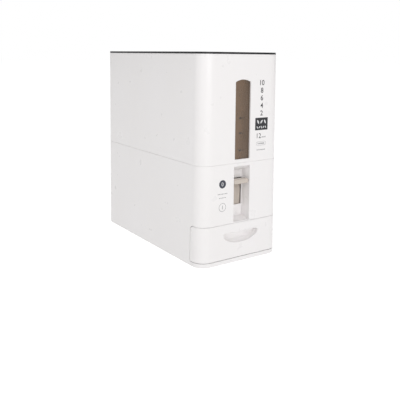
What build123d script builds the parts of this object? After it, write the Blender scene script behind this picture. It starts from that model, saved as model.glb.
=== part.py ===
"""Rice dispenser with a lift-off tank, a hinged lid, a swinging measuring lever and a drawer.

Millimetres. +Z is up, the front faces -Y, and the origin is on the floor under the middle of the
body. Each sub-part is written to parts/NODE.step.
"""
from math import cos, radians, sin, tan
import os

from build123d import *

# ---- overall body -------------------------------------------------------------------------
BODY_WIDTH = 225.0
BODY_DEPTH = 455.0
BODY_HEIGHT = 455.0
CORNER_RADIUS = 29.0
DRAFT = 0.0194                 # each side narrows this much for every millimetre further up
WALL = 3.0
SEAM_EDGE = 0.7                # small bevel on the edges that meet at a seam
SHELL_FIT = 0.3                # a flat piece set inside a shell, on each side
RUNNING_FIT = 0.05             # a shaft in its bore, radially
SWING_GAP = 0.6                # between a moving wall and the fixed wall beside it
PANEL_GAP = 1.2                # the line round the drawer front
SPARE = 1.0                    # how far a cutting or joining shape runs past a face

# ---- heights of the main seams ------------------------------------------------------------
FOOT_REVEAL = 0.8              # how far the feet stand out below the housing
SILL_TOP = 10.2
HOUSING_SEAM = 224.3
MEASURING_BAY_HEIGHT = 133.4   # from the top of the drawer's front up to the housing seam
LID_THICKNESS = 6.0
LID_PANEL_THICKNESS = 4.0

# ---- feet, base plate and screws ----------------------------------------------------------
FOOT_RADIUS = 10.0
FOOT_BEVEL = 0.6
FOOT_SIDE_MARGIN = 28.5        # middle of a foot in from the side of the body
FOOT_END_MARGIN = 33.5         # middle of a foot in from the front or back of the body
BASE_LIFT = 2.0                # base plate above the lower edge of the housing
BASE_THICKNESS = 3.0
RUNNER_WIDTH = 8.0
RUNNER_MARGIN = 24.5           # middle of a runner in from the side of the body
SCREW_RADIUS = 1.5
SCREW_HEAD_RADIUS = 3.0
SCREW_HEAD_HEIGHT = 1.6
SCREW_FIT = 0.06
BOSS_RADIUS = 4.5
BOSS_HEIGHT = 15.0
BASE_SCREW_BITE = 10.5         # how far a screw runs into its boss
BOSS_SIDE_MARGIN = 13.5
BOSS_END_MARGIN = 37.5         # from the drawer to the first row, and from the last to the back

# ---- drawer -------------------------------------------------------------------------------
DRAWER_WRAP = 38.0             # how far the front runs back round the corners
DRAWER_WALL = 2.4
DRAWER_SIDE_GAP = 13.0         # from the side of the body to the side of the box
DRAWER_FRONT_GAP = 22.5        # from the front of the body to the wall of the box
DRAWER_LENGTH = 230.0
DRAWER_BOX_CORNER = 6.0
DRAWER_SCREW_BITE = 6.4
DRAWER_BOX_DROP = 5.1          # rim of the box below the top of the front
DRAWER_CORNER_TOP = 8.0        # rounding of the front's rear corners
DRAWER_CORNER_LOW = 3.0
DRAWER_TRAVEL = 190.0
GRIP_HALF_WIDTH = 48.0
GRIP_MARGIN = 20.2             # flat top of the grip below the top of the front
GRIP_DROP = 25.2
GRIP_SHOULDER = 5.0            # from the grip's flat top down to its widest line
GRIP_CORNER = 4.9
GRIP_DEPTH = 16.0
STOP_HALF_WIDTH = 10.0
STOP_HEIGHT = 3.6
LEDGE_WIDTH = 5.0
DECK_THICKNESS = 3.0

# ---- lever recess and its back wall -------------------------------------------------------
RECESS_HALF_WIDTH = 21.8
RECESS_DEPTH = 26.0
RECESS_WALL = 2.5
RECESS_MARGIN = 6.9            # top of the recess below the housing seam
RECESS_CEILING_DROP = 14.0
RECESS_LIP = 1.7
RECESS_RAMP = 5.0
SLOT_HALF_WIDTH = 20.2
SLOT_BELOW = 32.6              # ends of the slot below and above the shaft
SLOT_ABOVE = 29.4

# ---- lever, rotor and shaft ---------------------------------------------------------------
AXIS_MARGIN = 67.4             # shaft below the housing seam
LEVER_SWING = 39.0             # degrees from rest to fully pressed
APRON_RADIUS = 50.0
APRON_THICKNESS = 2.2
APRON_HALF_WIDTH = 18.6
APRON_DROP = 36.5              # flat part of the apron below its curve, and above it
APRON_RISE = 31.5
KNOB_HALF_WIDTH = 20.8
KNOB_HEIGHT = 11.0
KNOB_DEPTH = 12.0
KNOB_CORNER = 5.4
KNOB_FRONT_ROUND = 2.5
KNOB_REAR_ROUND = 1.5
KNOB_REACH = 76.5              # from the shaft to the middle of the knob
STEM_HALF_WIDTH = 13.0
STEM_THICKNESS = 8.0
ROTOR_RADIUS = 38.0
ROTOR_WALL = 2.5
ROTOR_HALF_LENGTH = 48.0
PORT_WIDTH = 22.8
PORT_HALF_LENGTH = 42.0
OUTLET_TILT = 18.0             # degrees that the outlet lies behind the bottom of the rotor
CASING_WALL = 3.0
CASING_HALF_LENGTH = 46.0
COLLAR_HEIGHT = 7.0
YOKE_ARM = 3.0
YOKE_BAR_HALF_ANGLE = 9.0
SHAFT_RADIUS = 4.0
BUSH_WALL = 2.0
BRACKET_THICKNESS = 3.0
BRACKET_HALF_WIDTH = 18.0
BRACKET_FOOT = 14.0
SPRING_LENGTH = 8.0
SPRING_THICKNESS = 2.6
END_GAP = 0.3                  # side play between neighbours on the shaft

# ---- tank, hopper and window --------------------------------------------------------------
LOCATING_LIP = 3.0
LIP_THICKNESS = 2.0
WINDOW_HALF_WIDTH = 20.3
WINDOW_SILL = 7.8              # lower edge of the window above the housing seam
WINDOW_HEADROOM = 49.1         # top of the arch below the lid seam
WINDOW_ARCH = 5.0              # rise of the arch
WINDOW_SHOULDER = 3.0          # rounding where the arch meets the sides
WINDOW_REVEAL = 3.6
WINDOW_RIM = 4.5
PANE_THICKNESS = 2.5
PANE_LAP = 4.0
HOPPER_SHEET = 3.2
HOPPER_CLEARANCE = 4.0         # neck of the funnel above the housing seam
HOPPER_FRONT_RISE = 23.0
HOPPER_SIDE_RISE = 46.0
HOPPER_REAR_RISE = 107.0
NECK_WALL = 2.2
RIB_THICKNESS = 3.0
RIB_DEPTH = 12.0
RIB_ROWS = (-60.0, 60.0, 150.0)

# ---- lid and hinge ------------------------------------------------------------------------
LID_SKIRT_DEPTH = 7.0
LID_SKIRT_WALL = 2.4
LID_SKIRT_INSET = 6.5
LID_SKIRT_REAR = 22.5
GASKET_WIDTH = 2.4
GASKET_THICKNESS = 2.5
HINGE_SETBACK = 6.5            # hinge axis in from the back of the lid
HINGE_DROP = 8.5               # hinge axis below the lid seam
HINGE_RADIUS = 5.0
HINGE_PIN_RADIUS = 2.0
HINGE_X = 62.0
HINGE_KNUCKLE = 24.0           # length of the lid's knuckle
HINGE_CHEEK = 7.0              # length of each of the tank's knuckles
HINGE_NOTCH = 1.5              # free space round the lid's knuckle
HINGE_WEB_RISE = 3.0           # top of the tank's knuckle web above the hinge axis
HINGE_WEB_HALF = 4.0           # half the thickness of the lid's knuckle web

# ---- places worked out from the sizes above -----------------------------------------------
HALF_WIDTH = BODY_WIDTH / 2
HALF_DEPTH = BODY_DEPTH / 2
LID_SEAM = BODY_HEIGHT - LID_THICKNESS
DRAWER_FRONT_TOP = HOUSING_SEAM - MEASURING_BAY_HEIGHT
DRAWER_BOX_TOP = DRAWER_FRONT_TOP - DRAWER_BOX_DROP
DRAWER_HALF_WIDTH = HALF_WIDTH - DRAWER_SIDE_GAP
GRIP_TOP = DRAWER_FRONT_TOP - GRIP_MARGIN
RECESS_TOP = HOUSING_SEAM - RECESS_MARGIN
AXIS_Z = HOUSING_SEAM - AXIS_MARGIN
SLOT_LOW = AXIS_Z - SLOT_BELOW
SLOT_HIGH = AXIS_Z + SLOT_ABOVE
WINDOW_LOW = HOUSING_SEAM + WINDOW_SILL
WINDOW_CROWN = LID_SEAM - WINDOW_HEADROOM
WINDOW_SPRING = WINDOW_CROWN - WINDOW_ARCH
HOPPER_FLOOR = HOUSING_SEAM + HOPPER_CLEARANCE
HOPPER_FRONT_TOP = HOPPER_FLOOR + HOPPER_FRONT_RISE
HOPPER_SIDE_TOP = HOPPER_FLOOR + HOPPER_SIDE_RISE
HOPPER_REAR_TOP = HOPPER_FLOOR + HOPPER_REAR_RISE
FOOT_X = HALF_WIDTH - FOOT_SIDE_MARGIN
FOOT_Y = HALF_DEPTH - FOOT_END_MARGIN
RUNNER_X = HALF_WIDTH - RUNNER_MARGIN
BOSS_X = HALF_WIDTH - BOSS_SIDE_MARGIN
HOUSING_LOW = FOOT_REVEAL
BASE_LOW = HOUSING_LOW + BASE_LIFT
BASE_TOP = BASE_LOW + BASE_THICKNESS
DRAWER_LOW = SILL_TOP + PANEL_GAP
DRAWER_OPENING_TOP = DRAWER_FRONT_TOP + PANEL_GAP
DECK_LOW = DRAWER_OPENING_TOP
DECK_TOP = DECK_LOW + DECK_THICKNESS
LEDGE_LOW = DECK_LOW - LEDGE_WIDTH
DRAWER_FACE_END = DRAWER_WRAP - HALF_DEPTH
DRAWER_BOX_FRONT = DRAWER_FRONT_GAP - HALF_DEPTH
DRAWER_BOX_REAR = DRAWER_BOX_FRONT + DRAWER_LENGTH
BOSS_ROWS = (DRAWER_BOX_REAR + BOSS_END_MARGIN, HALF_DEPTH - BOSS_END_MARGIN)


def draft_inset(height):
    """How far the outer wall stands in, at a height, from the outline at the floor."""
    return DRAFT * height


def front_face(height, inset=0.0):
    """Y of the front wall's outer face at a height, moved in by inset."""
    return draft_inset(height) + inset - HALF_DEPTH


def side_face(height, inset=0.0):
    """X of the right wall's outer face at a height, moved in by inset."""
    return HALF_WIDTH - draft_inset(height) - inset


RECESS_BACK = front_face(SLOT_HIGH) + RECESS_DEPTH
AXIS_Y = RECESS_BACK + RECESS_WALL + SWING_GAP + APRON_RADIUS
CASING_RADIUS = ROTOR_RADIUS + SWING_GAP + CASING_WALL
ROTOR_END = ROTOR_HALF_LENGTH + ROTOR_WALL
STEM_REACH = KNOB_REACH - KNOB_DEPTH / 4
YOKE_IN = ROTOR_END + END_GAP
YOKE_OUT = YOKE_IN + YOKE_ARM
SPRING_IN = YOKE_OUT + END_GAP
BRACKET_IN = SPRING_IN + SPRING_LENGTH + END_GAP
BRACKET_OUT = BRACKET_IN + BRACKET_THICKNESS
COLLAR_TOP = AXIS_Z + CASING_RADIUS + COLLAR_HEIGHT
OUTLET_Y = AXIS_Y + ROTOR_RADIUS * sin(radians(OUTLET_TILT))
NECK_HALF_LENGTH = PORT_HALF_LENGTH
NECK_HALF_WIDTH = PORT_WIDTH / 2
HINGE_Y = -front_face(LID_SEAM) - HINGE_SETBACK
HINGE_Z = LID_SEAM - HINGE_DROP


# ---- shared shapes ------------------------------------------------------------------------
def body_outline(height, inset=0.0):
    """The body's rounded outline at a height, drawn in by inset."""
    shrink = 2 * (draft_inset(height) + inset)
    corner = max(CORNER_RADIUS - inset, 1.0)
    outline = RectangleRounded(BODY_WIDTH - shrink, BODY_DEPTH - shrink, corner)
    return Plane.XY.offset(height) * outline


def body_block(low, high, inset=0.0):
    """A solid slice of the body between two heights, drawn in by inset."""
    return loft([body_outline(low, inset), body_outline(high, inset)], ruled=True)


def body_wall(low, high, outer=0.0, inner=WALL):
    """A ring of the body's wall between two heights, from one inset to a deeper one."""
    return body_block(low, high, outer) - body_block(low - SPARE, high + SPARE, inner)


def span_box(x_low, x_high, y_low, y_high, z_low, z_high):
    """A box given by its faces."""
    size = (x_high - x_low, y_high - y_low, z_high - z_low)
    middle = ((x_low + x_high) / 2, (y_low + y_high) / 2, (z_low + z_high) / 2)
    return Pos(*middle) * Box(*size)


def mirrored_box(half_x, y_low, y_high, z_low, z_high):
    """A box that is centred across the body."""
    return span_box(-half_x, half_x, y_low, y_high, z_low, z_high)


def cross_cylinder(radius, x_low, x_high, y=0.0, z=0.0):
    """A round bar along X."""
    middle = Pos((x_low + x_high) / 2, y, z)
    return middle * Rot(0, 90, 0) * Cylinder(radius, x_high - x_low)


def upright_cylinder(radius, x, y, z_low, z_high):
    """A round bar along Z."""
    return Pos(x, y, (z_low + z_high) / 2) * Cylinder(radius, z_high - z_low)


def about_shaft(shape, angle=0.0):
    """Place a shape drawn about X = 0 and the shaft's axis, turned so that its front drops."""
    return Pos(0, AXIS_Y, AXIS_Z) * Rot(angle, 0, 0) * shape


def arc_sector(radius_in, radius_out, start, end, half_width):
    """A slice of a tube about the shaft. Angles in degrees are measured up from the front."""
    def point(radius, angle):
        return (-radius * cos(radians(angle)), radius * sin(radians(angle)))

    middle = (start + end) / 2
    edges = [
        ThreePointArc(point(radius_out, start), point(radius_out, middle), point(radius_out, end)),
        Line(point(radius_out, end), point(radius_in, end)),
        ThreePointArc(point(radius_in, end), point(radius_in, middle), point(radius_in, start)),
        Line(point(radius_in, start), point(radius_out, start)),
    ]
    profile = Plane.YZ * make_face(Curve() + edges)
    return extrude(profile, half_width, both=True)


def screw_up(x, y, head_low, length):
    """A screw driven upward, with its head below."""
    head = upright_cylinder(SCREW_HEAD_RADIUS, x, y, head_low, head_low + SCREW_HEAD_HEIGHT)
    neck = head_low + SCREW_HEAD_HEIGHT
    return head + upright_cylinder(SCREW_RADIUS, x, y, neck, neck + length)


def screw_down(x, y, head_high, length):
    """A screw driven downward, with its head on top."""
    neck = head_high - SCREW_HEAD_HEIGHT
    head = upright_cylinder(SCREW_HEAD_RADIUS, x, y, neck, head_high)
    return head + upright_cylinder(SCREW_RADIUS, x, y, neck - length, neck)


# ---- lower housing ------------------------------------------------------------------------
def recess_space():
    """The space of the lever recess: a slot with a sloping ceiling and a slightly raised floor."""
    floor = DRAWER_OPENING_TOP + RECESS_LIP
    outside = front_face(0) - WALL
    points = [
        (outside, floor),
        (front_face(floor), floor),
        (RECESS_BACK, floor + RECESS_RAMP),
        (RECESS_BACK, RECESS_TOP - RECESS_CEILING_DROP),
        (front_face(RECESS_TOP), RECESS_TOP),
        (outside, RECESS_TOP),
    ]
    profile = Plane.YZ * make_face(Polyline(*points, close=True))
    return extrude(profile, RECESS_HALF_WIDTH, both=True)


def recess_block():
    """The solid that the recess is cut from."""
    back = RECESS_BACK + RECESS_WALL
    half = RECESS_HALF_WIDTH + RECESS_WALL
    block = mirrored_box(half, -HALF_DEPTH, back, DECK_LOW, RECESS_TOP + RECESS_WALL)
    return block & body_block(HOUSING_LOW, HOUSING_SEAM)


def boss_spots():
    """Where the base plate is screwed to the housing."""
    return [(side * BOSS_X, row) for side in (-1, 1) for row in BOSS_ROWS]


def drawer_slice(gap=0.0):
    """The slice of the body that the drawer's front takes up, with round rear corners."""
    block = mirrored_box(HALF_WIDTH, -BODY_DEPTH, DRAWER_FACE_END + gap, DRAWER_LOW - gap,
                         DRAWER_FRONT_TOP + gap)
    low, high = block.edges().filter_by(Axis.X).group_by(Axis.Y)[-1].sort_by(Axis.Z)
    block = fillet(low, DRAWER_CORNER_LOW + gap)
    high = block.edges().filter_by(Axis.X).group_by(Axis.Z)[-1].sort_by(Axis.Y)[-1]
    return fillet(high, DRAWER_CORNER_TOP + gap)


def make_lower_housing():
    """The lower shell, with the recess, the tank's locating lip, ledges for the deck and bosses."""
    shell = body_wall(HOUSING_LOW, HOUSING_SEAM)
    lip_low = HOUSING_SEAM - 2 * LOCATING_LIP
    lip = body_wall(lip_low, HOUSING_SEAM, WALL / 2, WALL + SHELL_FIT + LIP_THICKNESS)
    lip += body_wall(HOUSING_SEAM - WALL, HOUSING_SEAM + LOCATING_LIP, WALL + SHELL_FIT,
                     WALL + SHELL_FIT + LIP_THICKNESS)
    shell += lip
    shell += recess_block()
    bay = body_block(HOUSING_LOW, HOUSING_SEAM, WALL / 2)
    for side in (-1, 1):
        inner = side_face(LEDGE_LOW, WALL + LEDGE_WIDTH)
        ends = sorted((side * inner, side * HALF_WIDTH))
        ledge = span_box(*ends, DRAWER_FACE_END + PANEL_GAP, HALF_DEPTH, LEDGE_LOW, DECK_LOW)
        shell += ledge & bay
    rear_ledge = mirrored_box(HALF_WIDTH, -front_face(LEDGE_LOW, WALL + LEDGE_WIDTH), HALF_DEPTH,
                              LEDGE_LOW, DECK_LOW)
    shell += rear_ledge & bay
    for x, y in boss_spots():
        web = span_box(*sorted((x, HALF_WIDTH if x > 0 else -HALF_WIDTH)),
                       y - RIB_THICKNESS / 2, y + RIB_THICKNESS / 2,
                       BASE_TOP, BASE_TOP + BOSS_HEIGHT)
        shell += web & bay
        shell += upright_cylinder(BOSS_RADIUS, x, y, BASE_TOP, BASE_TOP + BOSS_HEIGHT) & bay
        shell -= upright_cylinder(SCREW_RADIUS + SCREW_FIT, x, y, BASE_TOP, BASE_TOP + BOSS_HEIGHT)
    shell -= recess_space()
    shell -= mirrored_box(SLOT_HALF_WIDTH, RECESS_BACK - SPARE, RECESS_BACK + RECESS_WALL + SPARE,
                          SLOT_LOW, SLOT_HIGH)
    shell -= drawer_slice(PANEL_GAP)
    return shell - bevel_band(HOUSING_SEAM, -1)


def bevel_band(height, direction):
    """The ring that is cut away to bevel the outer edge of a wall at a seam."""
    far = height + direction * SEAM_EDGE
    low, high = sorted((height, far))
    outside = body_block(low, high, -SPARE)
    start = body_outline(height, SEAM_EDGE)
    finish = body_outline(far, 0.0)
    sections = [start, finish] if direction > 0 else [finish, start]
    return outside - loft(sections, ruled=True)


def make_base_plate():
    """The plate that closes the housing's floor, with two runners for the drawer."""
    plate = body_block(BASE_LOW, BASE_TOP, WALL + SHELL_FIT)
    front = front_face(BASE_TOP, WALL + 2 * SHELL_FIT)
    for side in (-1, 1):
        ends = sorted((side * (RUNNER_X - RUNNER_WIDTH / 2), side * (RUNNER_X + RUNNER_WIDTH / 2)))
        plate += span_box(*ends, front + CORNER_RADIUS, DRAWER_BOX_REAR, BASE_LOW,
                          DRAWER_LOW - SHELL_FIT)
    for x, y in boss_spots():
        plate -= upright_cylinder(SCREW_RADIUS + SCREW_FIT, x, y, BASE_LOW, BASE_TOP)
    return plate


def make_foot(side_x, side_y):
    """A round rubber foot under the base plate."""
    foot = upright_cylinder(FOOT_RADIUS, side_x * FOOT_X, side_y * FOOT_Y, 0, BASE_LOW)
    return chamfer(foot.edges().group_by(Axis.Z)[0], FOOT_BEVEL)


def make_base_screws():
    """The screws that hold the base plate."""
    head_low = BASE_LOW - SCREW_HEAD_HEIGHT
    length = BASE_THICKNESS + BASE_SCREW_BITE
    return Compound(children=[screw_up(x, y, head_low, length) for x, y in boss_spots()])


def make_bay_deck():
    """The deck between the drawer and the measuring gear, with the outlet and the drawer's stop."""
    deck = body_block(DECK_LOW, DECK_TOP, WALL + SHELL_FIT)
    gap = RECESS_WALL + SHELL_FIT
    deck -= mirrored_box(RECESS_HALF_WIDTH + gap, -BODY_DEPTH, RECESS_BACK + gap,
                         DECK_LOW - SPARE, DECK_TOP + SPARE)
    deck -= mirrored_box(PORT_HALF_LENGTH, OUTLET_Y - PORT_WIDTH / 2, OUTLET_Y + PORT_WIDTH / 2,
                         DECK_LOW - SPARE, DECK_TOP + SPARE)
    for x, y in bracket_screw_spots():
        deck -= upright_cylinder(SCREW_RADIUS + SCREW_FIT, x, y, DECK_LOW, DECK_TOP)
    stop_rear = DRAWER_BOX_REAR - DRAWER_WALL - DRAWER_TRAVEL - SHELL_FIT
    deck += mirrored_box(STOP_HALF_WIDTH, stop_rear - DRAWER_WALL, stop_rear,
                         DECK_LOW - STOP_HEIGHT, DECK_TOP)
    return deck


# ---- measuring gear -----------------------------------------------------------------------
def port_cut(angle, reach):
    """A straight-sided port that runs outward from the shaft; 0 points up, + towards the front."""
    cut = Pos(0, 0, reach / 2) * Box(2 * PORT_HALF_LENGTH, PORT_WIDTH, reach)
    return about_shaft(cut, angle)


def make_measuring_casing():
    """The fixed casing round the rotor, with a collar on top and an outlet down to the deck."""
    inner = ROTOR_RADIUS + SWING_GAP
    casing = cross_cylinder(CASING_RADIUS, -CASING_HALF_LENGTH, CASING_HALF_LENGTH, AXIS_Y, AXIS_Z)
    collar_half = NECK_HALF_WIDTH + NECK_WALL + SHELL_FIT + CASING_WALL
    casing += mirrored_box(CASING_HALF_LENGTH + CASING_WALL, AXIS_Y - collar_half,
                           AXIS_Y + collar_half, AXIS_Z + ROTOR_RADIUS, COLLAR_TOP)
    chute_half = PORT_WIDTH / 2 + CASING_WALL
    casing += mirrored_box(CASING_HALF_LENGTH, OUTLET_Y - chute_half, OUTLET_Y + chute_half,
                           DECK_TOP, AXIS_Z)
    casing -= cross_cylinder(inner, -BODY_WIDTH, BODY_WIDTH, AXIS_Y, AXIS_Z)
    casing -= port_cut(0, BODY_HEIGHT / 4)
    casing -= mirrored_box(PORT_HALF_LENGTH, OUTLET_Y - PORT_WIDTH / 2, OUTLET_Y + PORT_WIDTH / 2,
                           DECK_TOP - SPARE, AXIS_Z)
    neck = NECK_HALF_LENGTH + NECK_WALL + SHELL_FIT
    neck_half = NECK_HALF_WIDTH + NECK_WALL + SHELL_FIT
    casing -= mirrored_box(neck, AXIS_Y - neck_half, AXIS_Y + neck_half,
                           AXIS_Z + CASING_RADIUS, COLLAR_TOP + SPARE)
    return casing


def make_measuring_rotor():
    """The hollow rotor that holds one measure; its ports open one at a time."""
    rotor = cross_cylinder(ROTOR_RADIUS, -ROTOR_END, ROTOR_HALF_LENGTH, AXIS_Y, AXIS_Z)
    rotor -= cross_cylinder(ROTOR_RADIUS - ROTOR_WALL, -ROTOR_HALF_LENGTH, ROTOR_HALF_LENGTH,
                            AXIS_Y, AXIS_Z)
    rotor -= port_cut(0, 2 * ROTOR_RADIUS)
    rotor -= port_cut(180 + OUTLET_TILT - LEVER_SWING, 2 * ROTOR_RADIUS)
    rotor -= cross_cylinder(SHAFT_RADIUS, -BODY_WIDTH, 0, AXIS_Y, AXIS_Z)
    return rotor


def make_rotor_end_cap():
    """The cap that closes the rotor's open end."""
    cap = cross_cylinder(ROTOR_RADIUS, ROTOR_HALF_LENGTH, ROTOR_END, AXIS_Y, AXIS_Z)
    spigot = ROTOR_RADIUS - ROTOR_WALL
    cap += cross_cylinder(spigot, ROTOR_HALF_LENGTH - ROTOR_WALL, ROTOR_HALF_LENGTH, AXIS_Y, AXIS_Z)
    cap -= cross_cylinder(spigot - ROTOR_WALL, 0, ROTOR_HALF_LENGTH, AXIS_Y, AXIS_Z)
    cap -= cross_cylinder(SHAFT_RADIUS, 0, BODY_WIDTH, AXIS_Y, AXIS_Z)
    return cap


def make_rotor_shaft():
    """The shaft that carries the rotor and the yoke."""
    return cross_cylinder(SHAFT_RADIUS, -BRACKET_OUT - END_GAP, BRACKET_OUT + END_GAP,
                          AXIS_Y, AXIS_Z)


def make_lever_yoke():
    """The yoke that joins the knob to the shaft, with the apron that closes the slot behind."""
    inner = APRON_RADIUS - APRON_THICKNESS
    half_swing = LEVER_SWING / 2
    yoke = arc_sector(inner, APRON_RADIUS, -half_swing, half_swing, APRON_HALF_WIDTH)
    for turn, low, high in ((half_swing, -APRON_DROP, 0), (-half_swing, 0, APRON_RISE)):
        yoke += Rot(turn, 0, 0) * mirrored_box(APRON_HALF_WIDTH, -APRON_RADIUS, -inner, low, high)
    yoke += arc_sector(CASING_RADIUS + SWING_GAP, inner + APRON_THICKNESS / 2,
                       -YOKE_BAR_HALF_ANGLE, YOKE_BAR_HALF_ANGLE, YOKE_OUT)
    arm_half = inner * sin(radians(YOKE_BAR_HALF_ANGLE))
    for side in (-1, 1):
        ends = sorted((side * YOKE_IN, side * YOKE_OUT))
        arm = span_box(*ends, -inner * cos(radians(YOKE_BAR_HALF_ANGLE)), 0, -arm_half, arm_half)
        arm += cross_cylinder(SHAFT_RADIUS + 2 * BUSH_WALL, *ends)
        yoke += arm
    yoke -= cross_cylinder(SHAFT_RADIUS, -BODY_WIDTH, BODY_WIDTH)
    half_stem = STEM_THICKNESS / 2
    yoke += mirrored_box(STEM_HALF_WIDTH, -STEM_REACH, -inner, -half_stem, half_stem)
    return about_shaft(yoke, -half_swing)


def make_lever_knob():
    """The rounded bar that is pressed down."""
    profile = RectangleRounded(2 * KNOB_HALF_WIDTH, KNOB_HEIGHT, KNOB_CORNER)
    bar = extrude(Plane.XZ * profile, KNOB_DEPTH / 2, both=True)
    bar = fillet(bar.edges().group_by(Axis.Y)[0], KNOB_FRONT_ROUND)
    bar = fillet(bar.edges().group_by(Axis.Y)[-1], KNOB_REAR_ROUND)
    height = KNOB_REACH * sin(radians(LEVER_SWING / 2))
    reach = KNOB_REACH * cos(radians(LEVER_SWING / 2))
    stem = mirrored_box(STEM_HALF_WIDTH, -STEM_REACH, 0, -STEM_THICKNESS / 2, STEM_THICKNESS / 2)
    return Pos(0, AXIS_Y - reach, AXIS_Z + height) * bar - about_shaft(stem, -LEVER_SWING / 2)


def make_return_spring():
    """The coil that turns the lever back up; a plain sleeve on the shaft."""
    inner = SHAFT_RADIUS + SWING_GAP
    sleeve = cross_cylinder(inner + SPRING_THICKNESS, SPRING_IN, SPRING_IN + SPRING_LENGTH,
                            AXIS_Y, AXIS_Z)
    return sleeve - cross_cylinder(inner, 0, BODY_WIDTH, AXIS_Y, AXIS_Z)


def bracket_screw_spots():
    """Where the shaft brackets are screwed to the deck."""
    across = BRACKET_OUT + BRACKET_FOOT / 2
    along = BRACKET_HALF_WIDTH / 2
    return [(side * across, AXIS_Y + step) for side in (-1, 1) for step in (-along, along)]


def make_shaft_bracket(side):
    """The upright that carries one end of the shaft, with a foot screwed to the deck."""
    upright = span_box(*sorted((side * BRACKET_IN, side * BRACKET_OUT)),
                       AXIS_Y - BRACKET_HALF_WIDTH, AXIS_Y + BRACKET_HALF_WIDTH,
                       DECK_TOP, AXIS_Z)
    upright += cross_cylinder(BRACKET_HALF_WIDTH, *sorted((side * BRACKET_IN, side * BRACKET_OUT)),
                              AXIS_Y, AXIS_Z)
    foot_end = BRACKET_OUT + BRACKET_FOOT
    upright += span_box(*sorted((side * BRACKET_IN, side * foot_end)),
                        AXIS_Y - BRACKET_HALF_WIDTH, AXIS_Y + BRACKET_HALF_WIDTH,
                        DECK_TOP, DECK_TOP + BRACKET_THICKNESS)
    upright -= cross_cylinder(SHAFT_RADIUS + RUNNING_FIT + BUSH_WALL, -BODY_WIDTH, BODY_WIDTH,
                              AXIS_Y, AXIS_Z)
    for x, y in bracket_screw_spots():
        upright -= upright_cylinder(SCREW_RADIUS + SCREW_FIT, x, y, DECK_TOP,
                                    DECK_TOP + BRACKET_THICKNESS)
    return upright


def make_shaft_bush(side):
    """The bush that the shaft turns in."""
    ends = sorted((side * BRACKET_IN, side * BRACKET_OUT))
    bush = cross_cylinder(SHAFT_RADIUS + RUNNING_FIT + BUSH_WALL, *ends, AXIS_Y, AXIS_Z)
    return bush - cross_cylinder(SHAFT_RADIUS + RUNNING_FIT, *ends, AXIS_Y, AXIS_Z)


def make_bracket_screws():
    """The screws that hold the shaft brackets."""
    head_high = DECK_TOP + BRACKET_THICKNESS + SCREW_HEAD_HEIGHT
    length = BRACKET_THICKNESS + DECK_THICKNESS
    return Compound(children=[screw_down(x, y, head_high, length) for x, y in bracket_screw_spots()])


# ---- drawer -------------------------------------------------------------------------------
def grip_space():
    """The half-moon finger pocket: flat on top, bowed below and scooped towards the back."""
    bowl = Ellipse(GRIP_HALF_WIDTH, GRIP_DROP - GRIP_SHOULDER)
    bowl &= Pos(0, -BODY_WIDTH / 2) * Rectangle(BODY_WIDTH, BODY_WIDTH)
    band = RectangleRounded(2 * GRIP_HALF_WIDTH, 2 * GRIP_SHOULDER, GRIP_CORNER)
    outline = Pos(0, GRIP_TOP - GRIP_SHOULDER) * (bowl + band)
    mouth = front_face(GRIP_TOP - GRIP_DROP)
    plane = Plane(origin=(0, mouth - SPARE, 0), x_dir=(1, 0, 0), z_dir=(0, -1, 0))
    straight = extrude(plane * outline, -(GRIP_DEPTH + SPARE))
    scoop_floor = cross_cylinder(GRIP_DROP, -BODY_WIDTH, BODY_WIDTH, mouth, GRIP_TOP)
    return straight & (scoop_floor + mirrored_box(BODY_WIDTH, mouth - WALL, mouth, 0, BODY_HEIGHT))


def make_drawer_front():
    """The drawer's front: a shell that runs round both corners, with the grip's pocket."""
    front = body_wall(DRAWER_LOW, DRAWER_FRONT_TOP) & drawer_slice()
    half = GRIP_HALF_WIDTH + 2 * DRAWER_WALL
    pocket = mirrored_box(half, -HALF_DEPTH, DRAWER_BOX_FRONT, GRIP_TOP - GRIP_DROP - 2 * DRAWER_WALL,
                          GRIP_TOP + 2 * DRAWER_WALL)
    front += pocket & body_block(DRAWER_LOW, DRAWER_FRONT_TOP)
    front -= grip_space()
    for x, z in drawer_screw_spots():
        front -= drawer_screw_bore(x, z)
    return front


def drawer_screw_spots():
    """Where the drawer's box is screwed to its front."""
    level = GRIP_TOP - GRIP_DROP
    return [(side * (GRIP_HALF_WIDTH - DRAWER_WALL), level) for side in (-1, 1)]


def along_cylinder(radius, x, z, y_low, y_high):
    """A round bar along Y."""
    return Pos(x, (y_low + y_high) / 2, z) * Rot(90, 0, 0) * Cylinder(radius, y_high - y_low)


def drawer_screw_bore(x, z):
    """The hole for one of the drawer's screws."""
    return along_cylinder(SCREW_RADIUS + SCREW_FIT, x, z, DRAWER_BOX_FRONT - GRIP_DEPTH / 2,
                          DRAWER_BOX_FRONT + DRAWER_WALL)


def make_drawer_screws():
    """The screws between the drawer's box and its front."""
    face = DRAWER_BOX_FRONT + DRAWER_WALL
    screws = []
    for x, z in drawer_screw_spots():
        head = along_cylinder(SCREW_HEAD_RADIUS, x, z, face, face + SCREW_HEAD_HEIGHT)
        shank = along_cylinder(SCREW_RADIUS, x, z, face - DRAWER_WALL - DRAWER_SCREW_BITE, face)
        screws.append(head + shank)
    return Compound(children=screws)


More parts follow.
